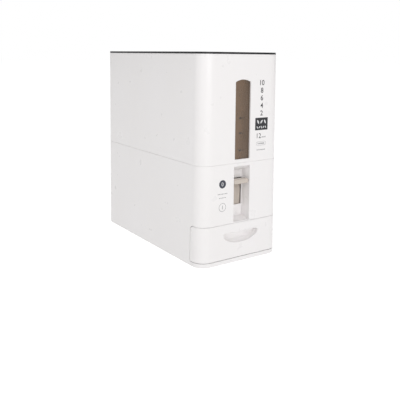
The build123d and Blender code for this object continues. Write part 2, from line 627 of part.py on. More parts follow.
def make_drawer_box():
    """The open box that catches the rice, with a tab at the back that meets the stop."""
    box = mirrored_box(DRAWER_HALF_WIDTH, DRAWER_BOX_FRONT, DRAWER_BOX_REAR, DRAWER_LOW,
                       DRAWER_BOX_TOP)
    box = fillet(box.edges().filter_by(Axis.Z), DRAWER_BOX_CORNER)
    inside = mirrored_box(DRAWER_HALF_WIDTH - DRAWER_WALL, DRAWER_BOX_FRONT + DRAWER_WALL,
                          DRAWER_BOX_REAR - DRAWER_WALL, DRAWER_LOW + DRAWER_WALL, BODY_HEIGHT)
    box -= fillet(inside.edges().filter_by(Axis.Z), DRAWER_BOX_CORNER - DRAWER_WALL)
    tab_top = DECK_LOW - SHELL_FIT
    box += mirrored_box(STOP_HALF_WIDTH, DRAWER_BOX_REAR - DRAWER_WALL, DRAWER_BOX_REAR,
                        DRAWER_BOX_TOP - SPARE, tab_top)
    for x, z in drawer_screw_spots():
        box -= drawer_screw_bore(x, z)
    return box


# ---- tank ---------------------------------------------------------------------------------
def window_outline(grow=0.0):
    """The window's outline, with its shallow arch, on the XZ plane."""
    half = WINDOW_HALF_WIDTH + grow
    low = WINDOW_LOW - grow
    spring = WINDOW_SPRING
    crown = WINDOW_CROWN + grow
    sides = Polyline((half, spring), (half, low), (-half, low), (-half, spring))
    arch = ThreePointArc((-half, spring), (0, crown), (half, spring))
    outline = make_face(Curve() + [sides, arch])
    return fillet(outline.vertices().group_by(Axis.Y)[-1], WINDOW_SHOULDER + grow)


def window_prism(grow=0.0):
    """The window's outline run through the front wall."""
    plane = Plane(origin=(0, 0, 0), x_dir=(1, 0, 0), z_dir=(0, -1, 0))
    return extrude(plane * window_outline(grow), BODY_DEPTH)


def hopper_cavity():
    """The funnel's space: sloping sides that meet at the neck, cut off by the walls elsewhere."""
    rise = HOPPER_REAR_TOP - HOPPER_FLOOR
    reach_front = -front_face(HOPPER_FLOOR, WALL) + AXIS_Y - NECK_HALF_WIDTH
    reach_rear = -front_face(HOPPER_REAR_TOP, WALL) - AXIS_Y - NECK_HALF_WIDTH
    reach_side = side_face(HOPPER_SIDE_TOP, WALL) - NECK_HALF_LENGTH
    spread_front = reach_front * rise / (HOPPER_FRONT_TOP - HOPPER_FLOOR)
    spread_side = reach_side * rise / (HOPPER_SIDE_TOP - HOPPER_FLOOR)
    mouth_front = AXIS_Y - NECK_HALF_WIDTH - spread_front
    mouth_rear = AXIS_Y + NECK_HALF_WIDTH + reach_rear
    mouth_half = NECK_HALF_LENGTH + spread_side
    low = Plane.XY.offset(HOPPER_FLOOR) * Pos(0, AXIS_Y) * Rectangle(
        2 * NECK_HALF_LENGTH, 2 * NECK_HALF_WIDTH)
    high = Plane.XY.offset(HOPPER_REAR_TOP) * Pos(0, (mouth_front + mouth_rear) / 2) * Rectangle(
        2 * mouth_half, mouth_rear - mouth_front)
    return loft([low, high], ruled=True)


def neck_box(grow, low, high):
    """The neck's rectangle run between two heights."""
    return mirrored_box(NECK_HALF_LENGTH + grow, AXIS_Y - NECK_HALF_WIDTH - grow,
                        AXIS_Y + NECK_HALF_WIDTH + grow, low, high)


def make_hopper():
    """The sloping floor of the tank, with a neck down into the casing's collar."""
    room = body_block(HOUSING_SEAM, LID_SEAM, WALL + SHELL_FIT)
    room -= window_boss(HOPPER_SHEET)
    cavity = hopper_cavity()
    sheet = (Pos(0, 0, -HOPPER_SHEET) * cavity - cavity) & room
    neck_low = AXIS_Z + CASING_RADIUS + SHELL_FIT
    neck = neck_box(NECK_WALL, neck_low, HOPPER_FLOOR) - neck_box(0, neck_low, HOPPER_FLOOR)
    hopper = sheet + neck - neck_box(0, neck_low - SPARE, HOPPER_FLOOR + SPARE)
    return hopper


def window_boss(extra=0.0):
    """The thicker patch of wall round the window, on the inside."""
    half = WINDOW_HALF_WIDTH + WINDOW_RIM
    patch = mirrored_box(half + extra, -BODY_DEPTH, 0, WINDOW_LOW - WINDOW_RIM - extra,
                         WINDOW_CROWN + WINDOW_RIM + extra)
    depth = WINDOW_REVEAL + (PANE_THICKNESS + SHELL_FIT if extra else 0.0)
    return body_wall(HOUSING_SEAM, LID_SEAM, WALL / 2, depth) & patch


def make_window_pane():
    """The smoked pane, set against the back of the window's rim."""
    pane = body_wall(HOUSING_SEAM, LID_SEAM, WINDOW_REVEAL, WINDOW_REVEAL + PANE_THICKNESS)
    return pane & window_prism(PANE_LAP)


def hopper_ribs():
    """Ribs on the tank's walls that the hopper's sheet rests on."""
    low = HOUSING_SEAM + LOCATING_LIP + SHELL_FIT
    ribs = []
    for row in RIB_ROWS:
        for side in (-1, 1):
            inner = side_face(HOPPER_SIDE_TOP, WALL + RIB_DEPTH)
            ends = sorted((side * inner, side * HALF_WIDTH))
            ribs.append(span_box(*ends, row - RIB_THICKNESS / 2, row + RIB_THICKNESS / 2,
                                 low, HOPPER_REAR_TOP))
    rear = -front_face(HOPPER_REAR_TOP, WALL + RIB_DEPTH)
    for x in (-HINGE_X, HINGE_X):
        ribs.append(span_box(x - RIB_THICKNESS / 2, x + RIB_THICKNESS / 2, rear, HALF_DEPTH,
                             low, HOPPER_REAR_TOP))
    return ribs


def hinge_spans(side):
    """Where along X the lid's knuckle and the tank's two knuckles lie on one hinge."""
    half = HINGE_KNUCKLE / 2
    centre = side * HINGE_X
    lid = (centre - half, centre + half)
    tank = [
        (lid[0] - END_GAP - HINGE_CHEEK, lid[0] - END_GAP),
        (lid[1] + END_GAP, lid[1] + END_GAP + HINGE_CHEEK),
    ]
    return lid, tank


def make_upper_housing():
    """The tank's shell, with the window, ribs for the hopper and the hinge's knuckles."""
    shell = body_wall(HOUSING_SEAM, LID_SEAM)
    shell += window_boss()
    shell -= window_prism()
    room = body_block(HOUSING_SEAM, LID_SEAM, WALL / 2)
    floor_cut = Pos(0, 0, -HOPPER_SHEET) * hopper_cavity()
    for rib in hopper_ribs():
        shell += (rib & room) - floor_cut
    reach = HINGE_DROP - SHELL_FIT
    corner = mirrored_box(BODY_WIDTH, HINGE_Y, BODY_DEPTH, HINGE_Z, BODY_HEIGHT)
    shell -= corner - cross_cylinder(reach, -BODY_WIDTH, BODY_WIDTH, HINGE_Y, HINGE_Z)
    for side in (-1, 1):
        lid_span, tank_spans = hinge_spans(side)
        for span in tank_spans:
            shell += cross_cylinder(HINGE_RADIUS, *span, HINGE_Y, HINGE_Z)
            shell += span_box(*span, HINGE_Y, -front_face(HINGE_Z, WALL / 2),
                              HINGE_Z - HINGE_RADIUS, HINGE_Z + HINGE_WEB_RISE)
        notch = HINGE_RADIUS + HINGE_NOTCH
        shell -= span_box(lid_span[0] - END_GAP, lid_span[1] + END_GAP, HINGE_Y - notch,
                          BODY_DEPTH, HINGE_Z - notch, BODY_HEIGHT)
        outer = tank_spans[0][0], tank_spans[1][1]
        shell -= cross_cylinder(HINGE_PIN_RADIUS + RUNNING_FIT, *outer, HINGE_Y, HINGE_Z)
    return shell - bevel_band(HOUSING_SEAM, 1)


def make_hinge_pin(side):
    """The pin of one lid hinge."""
    tank_spans = hinge_spans(side)[1]
    return cross_cylinder(HINGE_PIN_RADIUS, tank_spans[0][0], tank_spans[1][1], HINGE_Y, HINGE_Z)


# ---- lid ----------------------------------------------------------------------------------
def skirt_outline(height, inset):
    """The lid skirt's outline: the body's outline drawn in, and stopped short of the hinge."""
    margin = LID_SKIRT_INSET + inset
    front = front_face(LID_SEAM, margin)
    rear = -front_face(LID_SEAM) - LID_SKIRT_REAR - inset
    half = side_face(LID_SEAM, margin)
    outline = RectangleRounded(2 * half, rear - front, CORNER_RADIUS - margin)
    return Plane.XY.offset(height) * Pos(0, (front + rear) / 2) * outline


def skirt_ring(low, high, outer, inner):
    """A ring of the lid's skirt between two heights."""
    ring = extrude(skirt_outline(low, outer), high - low)
    return ring - extrude(skirt_outline(low, inner), high - low)


def make_lid_frame():
    """The lid's frame, with a skirt that drops into the tank and the hinge's knuckles."""
    top = BODY_HEIGHT - LID_PANEL_THICKNESS
    frame = body_block(LID_SEAM, top)
    frame += skirt_ring(LID_SEAM - LID_SKIRT_DEPTH, top, 0.0, LID_SKIRT_WALL)
    for side in (-1, 1):
        lid_span = hinge_spans(side)[0]
        frame += cross_cylinder(HINGE_RADIUS, *lid_span, HINGE_Y, HINGE_Z)
        frame += span_box(*lid_span, HINGE_Y - HINGE_WEB_HALF, HINGE_Y + HINGE_WEB_HALF,
                          HINGE_Z, LID_SEAM + SPARE)
        frame -= cross_cylinder(HINGE_PIN_RADIUS + RUNNING_FIT, *lid_span, HINGE_Y, HINGE_Z)
    return frame


def make_lid_panel():
    """The dark panel over the whole lid."""
    return body_block(BODY_HEIGHT - LID_PANEL_THICKNESS, BODY_HEIGHT)


def make_lid_gasket():
    """The soft ring round the lid's skirt."""
    mid = LID_SEAM - LID_SKIRT_DEPTH / 2
    return skirt_ring(mid - GASKET_THICKNESS / 2, mid + GASKET_THICKNESS / 2, -GASKET_WIDTH, 0.0)


# ---- write every sub-part -----------------------------------------------------------------
def all_parts():
    """Every sub-part by its node name."""
    parts = {
        "lower_housing": make_lower_housing(),
        "base_plate": make_base_plate(),
        "base_screws": make_base_screws(),
        "bay_deck": make_bay_deck(),
        "measuring_casing": make_measuring_casing(),
        "bracket_screws": make_bracket_screws(),
        "return_spring": make_return_spring(),
        "measuring_rotor": make_measuring_rotor(),
        "rotor_end_cap": make_rotor_end_cap(),
        "rotor_shaft": make_rotor_shaft(),
        "lever_yoke": make_lever_yoke(),
        "lever_knob": make_lever_knob(),
        "drawer_front": make_drawer_front(),
        "drawer_box": make_drawer_box(),
        "drawer_screws": make_drawer_screws(),
        "upper_housing": make_upper_housing(),
        "window_pane": make_window_pane(),
        "hopper": make_hopper(),
        "lid_frame": make_lid_frame(),
        "lid_panel": make_lid_panel(),
        "lid_gasket": make_lid_gasket(),
    }
    for side, name in ((-1, "left"), (1, "right")):
        parts["shaft_bracket_" + name] = make_shaft_bracket(side)
        parts["shaft_bush_" + name] = make_shaft_bush(side)
        parts["hinge_pin_" + name] = make_hinge_pin(side)
        for along, end in ((-1, "front"), (1, "rear")):
            parts["foot_" + end + "_" + name] = make_foot(side, along)
    return parts


os.makedirs("parts", exist_ok=True)
for node, shape in all_parts().items():
    export_step(shape, "parts/" + node + ".step")
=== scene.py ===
"""Looks of a rice dispenser with a drawer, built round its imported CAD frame.

Lengths are in metres, +Z is up, the front faces -Y, and the origin is on the floor under the middle
of the body. The CAD nodes keep their shapes and get procedural finishes. Small repeated or soft
pieces, and the printed marks on the front, are made here.
"""

import logging
from dataclasses import dataclass, field
from enum import Enum
from math import cos, pi, radians, sin

import bmesh
import bpy
from mathutils import Matrix, Vector


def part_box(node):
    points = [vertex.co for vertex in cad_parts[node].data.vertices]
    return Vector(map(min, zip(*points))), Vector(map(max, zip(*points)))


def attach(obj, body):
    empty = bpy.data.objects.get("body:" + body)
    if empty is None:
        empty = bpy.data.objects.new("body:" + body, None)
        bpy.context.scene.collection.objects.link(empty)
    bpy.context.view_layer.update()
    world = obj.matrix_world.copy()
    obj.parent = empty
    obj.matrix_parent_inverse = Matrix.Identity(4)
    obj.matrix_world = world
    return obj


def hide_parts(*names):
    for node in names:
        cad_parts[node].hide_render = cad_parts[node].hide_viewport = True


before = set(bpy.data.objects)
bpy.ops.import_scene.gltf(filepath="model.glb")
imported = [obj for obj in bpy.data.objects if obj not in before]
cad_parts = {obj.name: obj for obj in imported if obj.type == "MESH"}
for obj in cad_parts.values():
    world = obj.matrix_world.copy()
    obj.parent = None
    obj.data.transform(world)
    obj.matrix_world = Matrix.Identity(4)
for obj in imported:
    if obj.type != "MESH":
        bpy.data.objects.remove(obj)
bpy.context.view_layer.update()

LOG = logging.getLogger("rice_dispenser")
MM = 0.001
PATTERN_RANGE = (0.3, 0.7)  # where most of a noise pattern's values lie
DIGIT_SHARE = 0.69  # a digit's height as a share of its font size

Point = tuple[float, float]
Triple = tuple[float, float, float]
Mesh = bpy.types.Mesh
Socket = bpy.types.NodeSocket
Rings = list[list[bmesh.types.BMVert]]
Drawing = tuple[Mesh, float, float]  # a flat mesh, and the X and height where its origin goes


class Body(Enum):
    """The CAD bodies that pieces ride on."""

    BASE = "base"
    DRAWER = "drawer"
    TANK = "tank"
    LID = "lid"


@dataclass(frozen=True)
class FrontFace:
    """The body's front face, which leans back a little towards the top, and the ink on it."""

    half_width: float = 112.5 * MM
    half_depth: float = 227.5 * MM
    corner: float = 29.0 * MM
    corner_steps: int = 16
    draft: float = 0.0194
    ink_depth: float = 0.1 * MM
    ink_proud: float = 0.06 * MM
    second_ink: float = 0.05 * MM

    def inset(self, z: float) -> float:
        """Give how far the outer wall stands in at a height."""
        return self.draft * z

    def press_on(self, mesh: Mesh, x: float, z: float, raised: float) -> Mesh:
        """Lay a flat drawing on the face: its X stays X, its Y becomes up, its Z faces out.

        Args:
            mesh: The drawing, about its own origin and as thick as the ink.
            x: Where its origin goes.
            z: The height where its origin goes.
            raised: How far in front of ink on the bare face it lies.

        Returns:
            The same mesh, in place.
        """
        out = self.ink_proud - self.ink_depth + raised
        for vert in mesh.vertices:
            across, up, proud = vert.co
            vert.co = (x + across, self.inset(z + up) - self.half_depth - (out + proud), z + up)
        mesh.update()
        return mesh

    def path(self, inset: float, rear: float) -> list[Point]:
        """Trace the body's outline round its front, from one side to the other.

        Args:
            inset: How far inside the outline at the floor.
            rear: The Y where both ends lie.

        Returns:
            The points in order, from the left rear end to the right one.
        """
        half_x, half_y = self.half_width - inset, self.half_depth - inset
        points = [(-half_x, rear)]
        for side, start in ((-1, pi), (1, 1.5 * pi)):
            for step in range(self.corner_steps + 1):
                angle = start + pi / 2 * step / self.corner_steps
                points.append((side * (half_x - self.corner) + self.corner * cos(angle),
                               self.corner - half_y + self.corner * sin(angle)))
        return points + [(half_x, rear)]


FACE = FrontFace()


# ---- node trees ----
class NodeSheet:
    """A node tree, with short calls that add nodes and join sockets."""

    def __init__(self, tree: bpy.types.NodeTree) -> None:
        """Take over a tree and empty it.

        Args:
            tree: The tree to fill.
        """
        self.tree = tree
        tree.nodes.clear()

    def add(self, kind: str, inputs: dict | None = None, **settings: object) -> bpy.types.Node:
        """Add a node.

        Args:
            kind: The node's type, such as ShaderNodeBump.
            inputs: Values or sockets for its inputs, by name or number.
            **settings: Values for the node's own properties.

        Returns:
            The new node.
        """
        node = self.tree.nodes.new(kind)
        for name, value in settings.items():
            setattr(node, name, value)
        for key, value in (inputs or {}).items():
            if isinstance(value, Socket):
                self.tree.links.new(value, node.inputs[key])
            else:
                node.inputs[key].default_value = value
        return node


class ShaderSheet(NodeSheet):
    """A new material's tree, with the patterns that the finishes share."""

    def __init__(self, name: str) -> None:
        """Make an empty node material.

        Args:
            name: The material's name.
        """
        self.material = bpy.data.materials.new(name)
        self.material.use_nodes = True
        super().__init__(self.material.node_tree)

    def point(self, stretch: Triple = (1.0, 1.0, 1.0)) -> Socket:
        """Give the object's own coordinates, stretched.

        Args:
            stretch: The scale along each axis.

        Returns:
            The socket that holds the point.
        """
        coordinates = self.add("ShaderNodeTexCoord")
        return self.add("ShaderNodeMapping", {"Vector": coordinates.outputs["Object"],
                                              "Scale": stretch}).outputs[0]

    def axes(self) -> list[Socket]:
        """Give the object's own X, Y and Z."""
        return list(self.add("ShaderNodeSeparateXYZ", {0: self.point()}).outputs)

    def noise(self, scale: float, detail: float, stretch: Triple = (1.0, 1.0, 1.0)) -> Socket:
        """Add a noise pattern on the object's own coordinates.

        Args:
            scale: Its scale, in cells to the metre.
            detail: How many finer layers it has.
            stretch: What its scale is multiplied by along each axis.

        Returns:
            The socket that holds its value, from 0 to 1.
        """
        return self.add("ShaderNodeTexNoise", {"Vector": self.point(stretch), "Scale": scale,
                                               "Detail": detail}).outputs[0]

    def maths(self, operation: str, *values: object) -> Socket:
        """Add one step of arithmetic.

        Args:
            operation: The Math node's operation.
            *values: Its values or sockets, in order.

        Returns:
            The socket that holds the result.
        """
        return self.add("ShaderNodeMath", dict(enumerate(values)), operation=operation).outputs[0]

    def spread(self, value: Socket, low: float, high: float,
               reach: Point = PATTERN_RANGE) -> Socket:
        """Map a stretch of a pattern's values onto two values.

        Args:
            value: The pattern.
            low: What the stretch's first end becomes.
            high: What its other end becomes.
            reach: The two ends of the stretch.

        Returns:
            The socket that holds the mapped value.
        """
        return self.add("ShaderNodeMapRange", {
            "Value": value, "From Min": reach[0], "From Max": reach[1], "To Min": low,
            "To Max": high}).outputs[0]

    def relief(self, height: Socket, strength: float, distance: float,
               edge: float = 0.0) -> Socket:
        """Turn a pattern into a bumped normal, on edges that are rounded a little.

        Args:
            height: The pattern.
            strength: How much of the bump shows.
            distance: The bump's height.
            edge: The radius of the rounded edges, or 0.

        Returns:
            The socket that holds the normal.
        """
        inputs = {"Height": height, "Strength": strength, "Distance": distance}
        if edge:
            inputs["Normal"] = self.add("ShaderNodeBevel", {"Radius": edge}, samples=6).outputs[0]
        return self.add("ShaderNodeBump", inputs).outputs[0]

    def close(self, inputs: dict[str, object]) -> bpy.types.Material:
        """End the tree in one shader.

        Args:
            inputs: Values or sockets for the shader's inputs.

        Returns:
            The material.
        """
        shader = self.add("ShaderNodeBsdfPrincipled", inputs)
        self.add("ShaderNodeOutputMaterial", {"Surface": shader.outputs[0]})
        return self.material


# ---- finishes ----
@dataclass(frozen=True)
class Finish:
    """What every finish has: a name and the colour it shows on the whole."""

    name: str
    colour: Triple

    def sockets(self, sheet: ShaderSheet) -> dict[str, object]:
        """Give the shader's inputs. Each finish has its own."""
        raise NotImplementedError

    def make(self) -> bpy.types.Material:
        """Build the material.

        Returns:
            The new material.
        """
        sheet = ShaderSheet(self.name)
        material = sheet.close(self.sockets(sheet))
        material.diffuse_color = (*self.colour, 1.0)
        return material

    def vary(self, sheet: ShaderSheet, value: Socket, amount: float,
             tint: Triple = (1.0, 1.0, 1.0)) -> Socket:
        """Vary the finish's colour with a pattern.

        Args:
            sheet: The sheet to add to.
            value: The pattern, from 0 to 1.
            amount: How much darker the dark places are.
            tint: What the dark places are also multiplied by.

        Returns:
            The socket that holds the colour.
        """
        ramp = sheet.add("ShaderNodeValToRGB", {"Fac": value})
        dark = tuple(c * (1.0 - amount) * t for c, t in zip(self.colour, tint))
        for element, place, colour in zip(ramp.color_ramp.elements, PATTERN_RANGE,
                                          (dark, self.colour)):
            element.position = place
            element.color = (*colour, 1.0)
        return ramp.outputs[0]


@dataclass(frozen=True)
class MouldedPlastic(Finish):
    """Injection-moulded plastic: an even colour with faint flow shades and a fine orange peel."""

    roughness: Point = (0.27, 0.37)
    flow_shade: float = 0.012
    flow_tint: Triple = (1.0, 0.998, 0.992)
    grain: float = 1400.0
    grain_height: float = 0.03 * MM
    edge: float = 0.7 * MM
    coat: float = 0.12

    def base(self, sheet: ShaderSheet) -> Socket:
        """Build the plastic's colour.

        Args:
            sheet: The sheet to add to.

        Returns:
            The socket that holds the colour.
        """
        flow = sheet.noise(scale=9.0, detail=3.0, stretch=(1.0, 1.0, 0.35))
        return self.vary(sheet, flow, self.flow_shade, self.flow_tint)

    def sockets(self, sheet: ShaderSheet) -> dict[str, object]:
        """Give the plastic's colour, gloss and orange peel.

        Args:
            sheet: The sheet to add to.

        Returns:
            The shader's inputs.
        """
        patches = sheet.noise(scale=38.0, detail=3.0)
        peel = sheet.noise(self.grain, detail=1.0)
        return {
            "Base Color": self.base(sheet),
            "Roughness": sheet.spread(patches, *self.roughness),
            "Normal": sheet.relief(peel, strength=0.25, distance=self.grain_height,
                                   edge=self.edge),
            "Coat Weight": self.coat,
            "Coat Roughness": 0.12,
        }


@dataclass(frozen=True)
class ShellPlastic(MouldedPlastic):
    """The shells' plastic, with painted light brightening the hollows of the front.

    The painted light lifts the shade that falls in the hollows. It sets in between two depths
    behind the face, at most hollow_half from the middle and no further back than hollow_end.
    """

    hollow_depths: Point = (1.0 * MM, 10.0 * MM)
    hollow_half: float = 50.0 * MM
    hollow_end: float = -160.0 * MM
    # how much the painted light brightens the colour in the hollows
    hollow_painted_light: float = 1.13

    def base(self, sheet: ShaderSheet) -> Socket:
        """Build the shells' colour, with painted light in the hollows.

        Args:
            sheet: The sheet to add to.

        Returns:
            The socket that holds the colour.
        """
        across, along, up = sheet.axes()
        behind = sheet.maths("MULTIPLY_ADD", up, -FACE.draft, along)
        start, full = (depth - FACE.half_depth for depth in self.hollow_depths)
        near = sheet.maths("LESS_THAN", sheet.maths("ABSOLUTE", across), self.hollow_half)
        ahead = sheet.maths("LESS_THAN", along, self.hollow_end)
        hollow = sheet.maths("MULTIPLY", sheet.spread(behind, 0.0, 1.0, (start, full)),
                             sheet.maths("MULTIPLY", ahead, near))
        # painted light: the colour is scaled up in the hollows to lift their shade
        painted_light_gain = sheet.spread(hollow, 1.0, self.hollow_painted_light, (0.0, 1.0))
        return sheet.add("ShaderNodeVectorMath", {0: super().base(sheet), "Scale": painted_light_gain},
                         operation="SCALE").outputs[0]


@dataclass(frozen=True)
class SmokedPane(Finish):
    """Brown smoked clear plastic: glossy, partly see-through, dusty, with a painted highlight on
    its left.
    """

    roughness: Point = (0.05, 0.14)
    opacity: Point = (0.77, 0.83)
    # the painted highlight's range across the pane, faint on the right and full on the left
    sides: Point = (20.0 * MM, -20.0 * MM)
    side_highlight: Point = (0.2, 0.8)
    patchy_share: float = 0.3
    shade: float = 0.46
    shade_tint: Triple = (1.0, 0.97, 0.93)
    upright: Triple = (1.0, 1.0, 0.4)

    def sockets(self, sheet: ShaderSheet) -> dict[str, object]:
        """Give the pane's painted highlight on its left, its dust and faint ripples.

        Args:
            sheet: The sheet to add to.

        Returns:
            The shader's inputs.
        """
        dust = sheet.noise(scale=60.0, detail=5.0, stretch=self.upright)
        ripple = sheet.noise(scale=30.0, detail=1.0, stretch=self.upright)
        # painted highlight: the colour grows lighter towards the pane's left, mixed with a share of
        # random dust
        across = sheet.spread(sheet.axes()[0], *self.side_highlight, self.sides)
        highlight_and_dust = sheet.add("ShaderNodeMix", {0: self.patchy_share, 2: across, 3: dust}).outputs[0]
        return {
            "Base Color": self.vary(sheet, highlight_and_dust, self.shade, self.shade_tint),
            "Roughness": sheet.spread(dust, *self.roughness),
            "Alpha": sheet.spread(dust, *self.opacity),
            "Normal": sheet.relief(ripple, strength=0.15, distance=0.2 * MM),
            "IOR": 1.5,
            "Coat Weight": 0.3,
            "Coat Roughness": 0.05,
        }


@dataclass(frozen=True)
class SatinPanel(Finish):
    """Dark satin plastic, with very fine hairlines and smudges."""

    roughness: Point = (0.34, 0.42)
    edge: float = 0.3 * MM

    def sockets(self, sheet: ShaderSheet) -> dict[str, object]:
        """Give the panel's smudges and hairlines.

        Args:
            sheet: The sheet to add to.

        Returns:
            The shader's inputs.
        """
        smudge = sheet.noise(scale=14.0, detail=6.0)
        hairline = sheet.noise(scale=2600.0, detail=1.0, stretch=(1.0, 0.03, 1.0))
        return {
            "Base Color": self.vary(sheet, smudge, amount=0.25),
            "Roughness": sheet.spread(smudge, *self.roughness),
            "Specular IOR Level": 0.35,
            "Normal": sheet.relief(hairline, strength=0.08, distance=0.01 * MM, edge=self.edge),
            "Coat Weight": 0.1,
            "Coat Roughness": 0.3,
        }


@dataclass(frozen=True)
class SoftRubber(Finish):
    """Rubber or silicone: dull, with a fine skin and paler rubbed patches."""

    roughness: Point = (0.6, 0.78)

    def sockets(self, sheet: ShaderSheet) -> dict[str, object]:
        """Give the rubber's rubbed patches and skin.

        Args:
            sheet: The sheet to add to.

        Returns:
            The shader's inputs.
        """
        rub = sheet.noise(scale=120.0, detail=4.0)
        skin_grain = sheet.noise(scale=2600.0, detail=2.0)
        return {
            "Base Color": self.vary(sheet, rub, amount=0.25),
            "Roughness": sheet.spread(rub, *self.roughness),
            "Normal": sheet.relief(skin_grain, strength=0.4, distance=0.05 * MM),
            "Sheen Weight": 0.15,
        }


@dataclass(frozen=True)
class DrawnSteel(Finish):
    """Drawn or turned steel: fine lines along X, and slightly dulled patches."""

    roughness: Point = (0.2, 0.38)

    def sockets(self, sheet: ShaderSheet) -> dict[str, object]:
        """Give the steel's dulled patches and lines.

        Args:
            sheet: The sheet to add to.

        Returns:
            The shader's inputs.
        """
        lines = sheet.noise(scale=5200.0, detail=2.0, stretch=(0.04, 1.0, 1.0))
        dull = sheet.noise(scale=160.0, detail=3.0)
        return {
            "Base Color": self.vary(sheet, dull, amount=0.12),
            "Metallic": 1.0,
            "Roughness": sheet.spread(dull, *self.roughness),
            "Normal": sheet.relief(lines, strength=0.2, distance=0.02 * MM),
        }


@dataclass(frozen=True)
class PadPrint(Finish):
    """Pad-printed ink: satin, a little thinner in places."""

    roughness: Point = (0.38, 0.52)

    def sockets(self, sheet: ShaderSheet) -> dict[str, object]:
        """Give the ink's thin places.

        Args:
            sheet: The sheet to add to.

        Returns:
            The shader's inputs.
        """
        thin = sheet.noise(scale=900.0, detail=3.0)
        return {
            "Base Color": self.vary(sheet, thin, amount=0.2),
            "Roughness": sheet.spread(thin, *self.roughness),
        }


@dataclass
class FinishRack:
    """Every finish of the dispenser, made once and shared."""

    finishes: tuple[Finish, ...] = (
        ShellPlastic("shell white", (0.79, 0.772, 0.772)),
        MouldedPlastic("inner white", (0.79, 0.775, 0.76), roughness=(0.4, 0.5), coat=0.0),
        MouldedPlastic("lever greige", (0.52, 0.46, 0.405), roughness=(0.19, 0.29),
                       flow_shade=0.04, coat=0.35),
        MouldedPlastic("bush plastic", (0.78, 0.75, 0.68), roughness=(0.45, 0.55), coat=0.0),
        SmokedPane("smoked pane", (0.2, 0.126, 0.078)),
        SatinPanel("lid panel", (0.012, 0.012, 0.014)),
        SoftRubber("soft seal", (0.62, 0.62, 0.61), roughness=(0.5, 0.68)),
        SoftRubber("foot rubber", (0.045, 0.045, 0.045)),
        DrawnSteel("steel", (0.58, 0.57, 0.56)),
        PadPrint("dark ink", (0.022, 0.022, 0.026)),
        PadPrint("slate ink", (0.042, 0.045, 0.066)),
        PadPrint("grey ink", (0.2, 0.2, 0.21)),
        PadPrint("pale ink", (0.72, 0.72, 0.73)),
    )
    made: dict[str, bpy.types.Material] = field(default_factory=dict)

    def get(self, name: str) -> bpy.types.Material:
        """Give a finish's material, which is made the first time.

        Args:
            name: The finish's name.

        Returns:
            The material.
        """
        if name not in self.made:
            self.made[name] = next(f for f in self.finishes if f.name == name).make()
        return self.made[name]


RACK = FinishRack()


# ---- making pieces ----
def hang(name: str, data: bpy.types.ID) -> bpy.types.Object:
    """Put a mesh, a curve, a lamp or a camera in the scene.

    Args:
        name: The new object's name.
        data: What it holds.

    Returns:
        The object.
    """
    holder = bpy.data.objects.new(name, data)
    bpy.context.scene.collection.objects.link(holder)
    return holder


def settle(holder: bpy.types.Object) -> Mesh:
    """Keep an object's evaluated shape as a plain mesh, and drop the object.

    Args:
        holder: The object, with its modifiers.

    Returns:
        The mesh.
    """
    graph = bpy.context.evaluated_depsgraph_get()
    mesh = bpy.data.meshes.new_from_object(holder.evaluated_get(graph), depsgraph=graph)
    holder.modifiers.clear()
    bpy.data.objects.remove(holder)
    return mesh


def coat(mesh: Mesh, finish: str) -> None:
    """Give a mesh one finish, by the finish's name."""
    mesh.materials.clear()
    mesh.materials.append(RACK.get(finish))


def dress(finishes: dict[str, tuple[str, ...]]) -> None:
    """Give CAD nodes their finishes.

    Args:
        finishes: The nodes that take each finish, by the finish's name.
    """
    for finish, nodes in finishes.items():
        for node in nodes:
            coat(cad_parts[node].data, finish)


def add_piece(name: str, mesh: Mesh, finish: str, body: Body,
              replaces: tuple[str, ...] = ()) -> None:
    """Turn a finished mesh into a piece that rides on a body.

    Args:
        name: The piece's name.
        mesh: Its mesh, in place.
        finish: Its finish's name.
        body: The body that it rides on.
        replaces: The CAD nodes that it stands for.
    """
    mesh.name = name
    coat(mesh, finish)
    piece = hang(name, mesh)
    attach(piece, body.value)
    if replaces:
        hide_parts(*replaces)
    LOG.info("%s: %d faces on %s", name, len(mesh.polygons), body.value)


def closed_mesh(work: bmesh.types.BMesh, smooth: float = 0.0) -> Mesh:
    """Merge a bmesh's doubles, point its faces outwards and make it a mesh.

    Args:
        work: The bmesh, which is freed.
        smooth: The angle in degrees under which edges are smooth, or 0 for flat faces.

    Returns:
        The mesh.
    """
    bmesh.ops.remove_doubles(work, verts=work.verts, dist=1e-7)
    bmesh.ops.recalc_face_normals(work, faces=work.faces)
    if smooth:
        for face in work.faces:
            face.smooth = True
        for edge in work.edges:
            edge.smooth = edge.is_manifold and edge.calc_face_angle(pi) < radians(smooth)
    mesh = bpy.data.meshes.new("piece")
    work.to_mesh(mesh)
    work.free()
    return mesh


def joined(meshes: list[Mesh]) -> Mesh:
    """Join meshes into one and drop the originals.

    Args:
        meshes: The meshes to join.

    Returns:
        The joined mesh.
    """
    work = bmesh.new()
    for mesh in meshes:
        work.from_mesh(mesh)
        bpy.data.meshes.remove(mesh)
    result = bpy.data.meshes.new("piece")
    work.to_mesh(result)
    work.free()
    return result


def lathe(profile: list[Point], sides: int, smooth: float = 40.0) -> Mesh:
    """Turn a closed profile round the Z axis.

    Args:
        profile: Radius and height of each point; the first and the last lie on the axis.
        sides: How many steps the turn has.
        smooth: The angle in degrees under which edges are smooth.

    Returns:
        The closed mesh.
    """
    work = bmesh.new()
    verts = [work.verts.new((radius, 0.0, height)) for radius, height in profile]
    edges = [work.edges.new(pair) for pair in zip(verts, verts[1:])]
    bmesh.ops.spin(work, geom=verts + edges, cent=(0, 0, 0), axis=(0, 0, 1), angle=2 * pi,
                   steps=sides, use_merge=True)
    return closed_mesh(work, smooth)


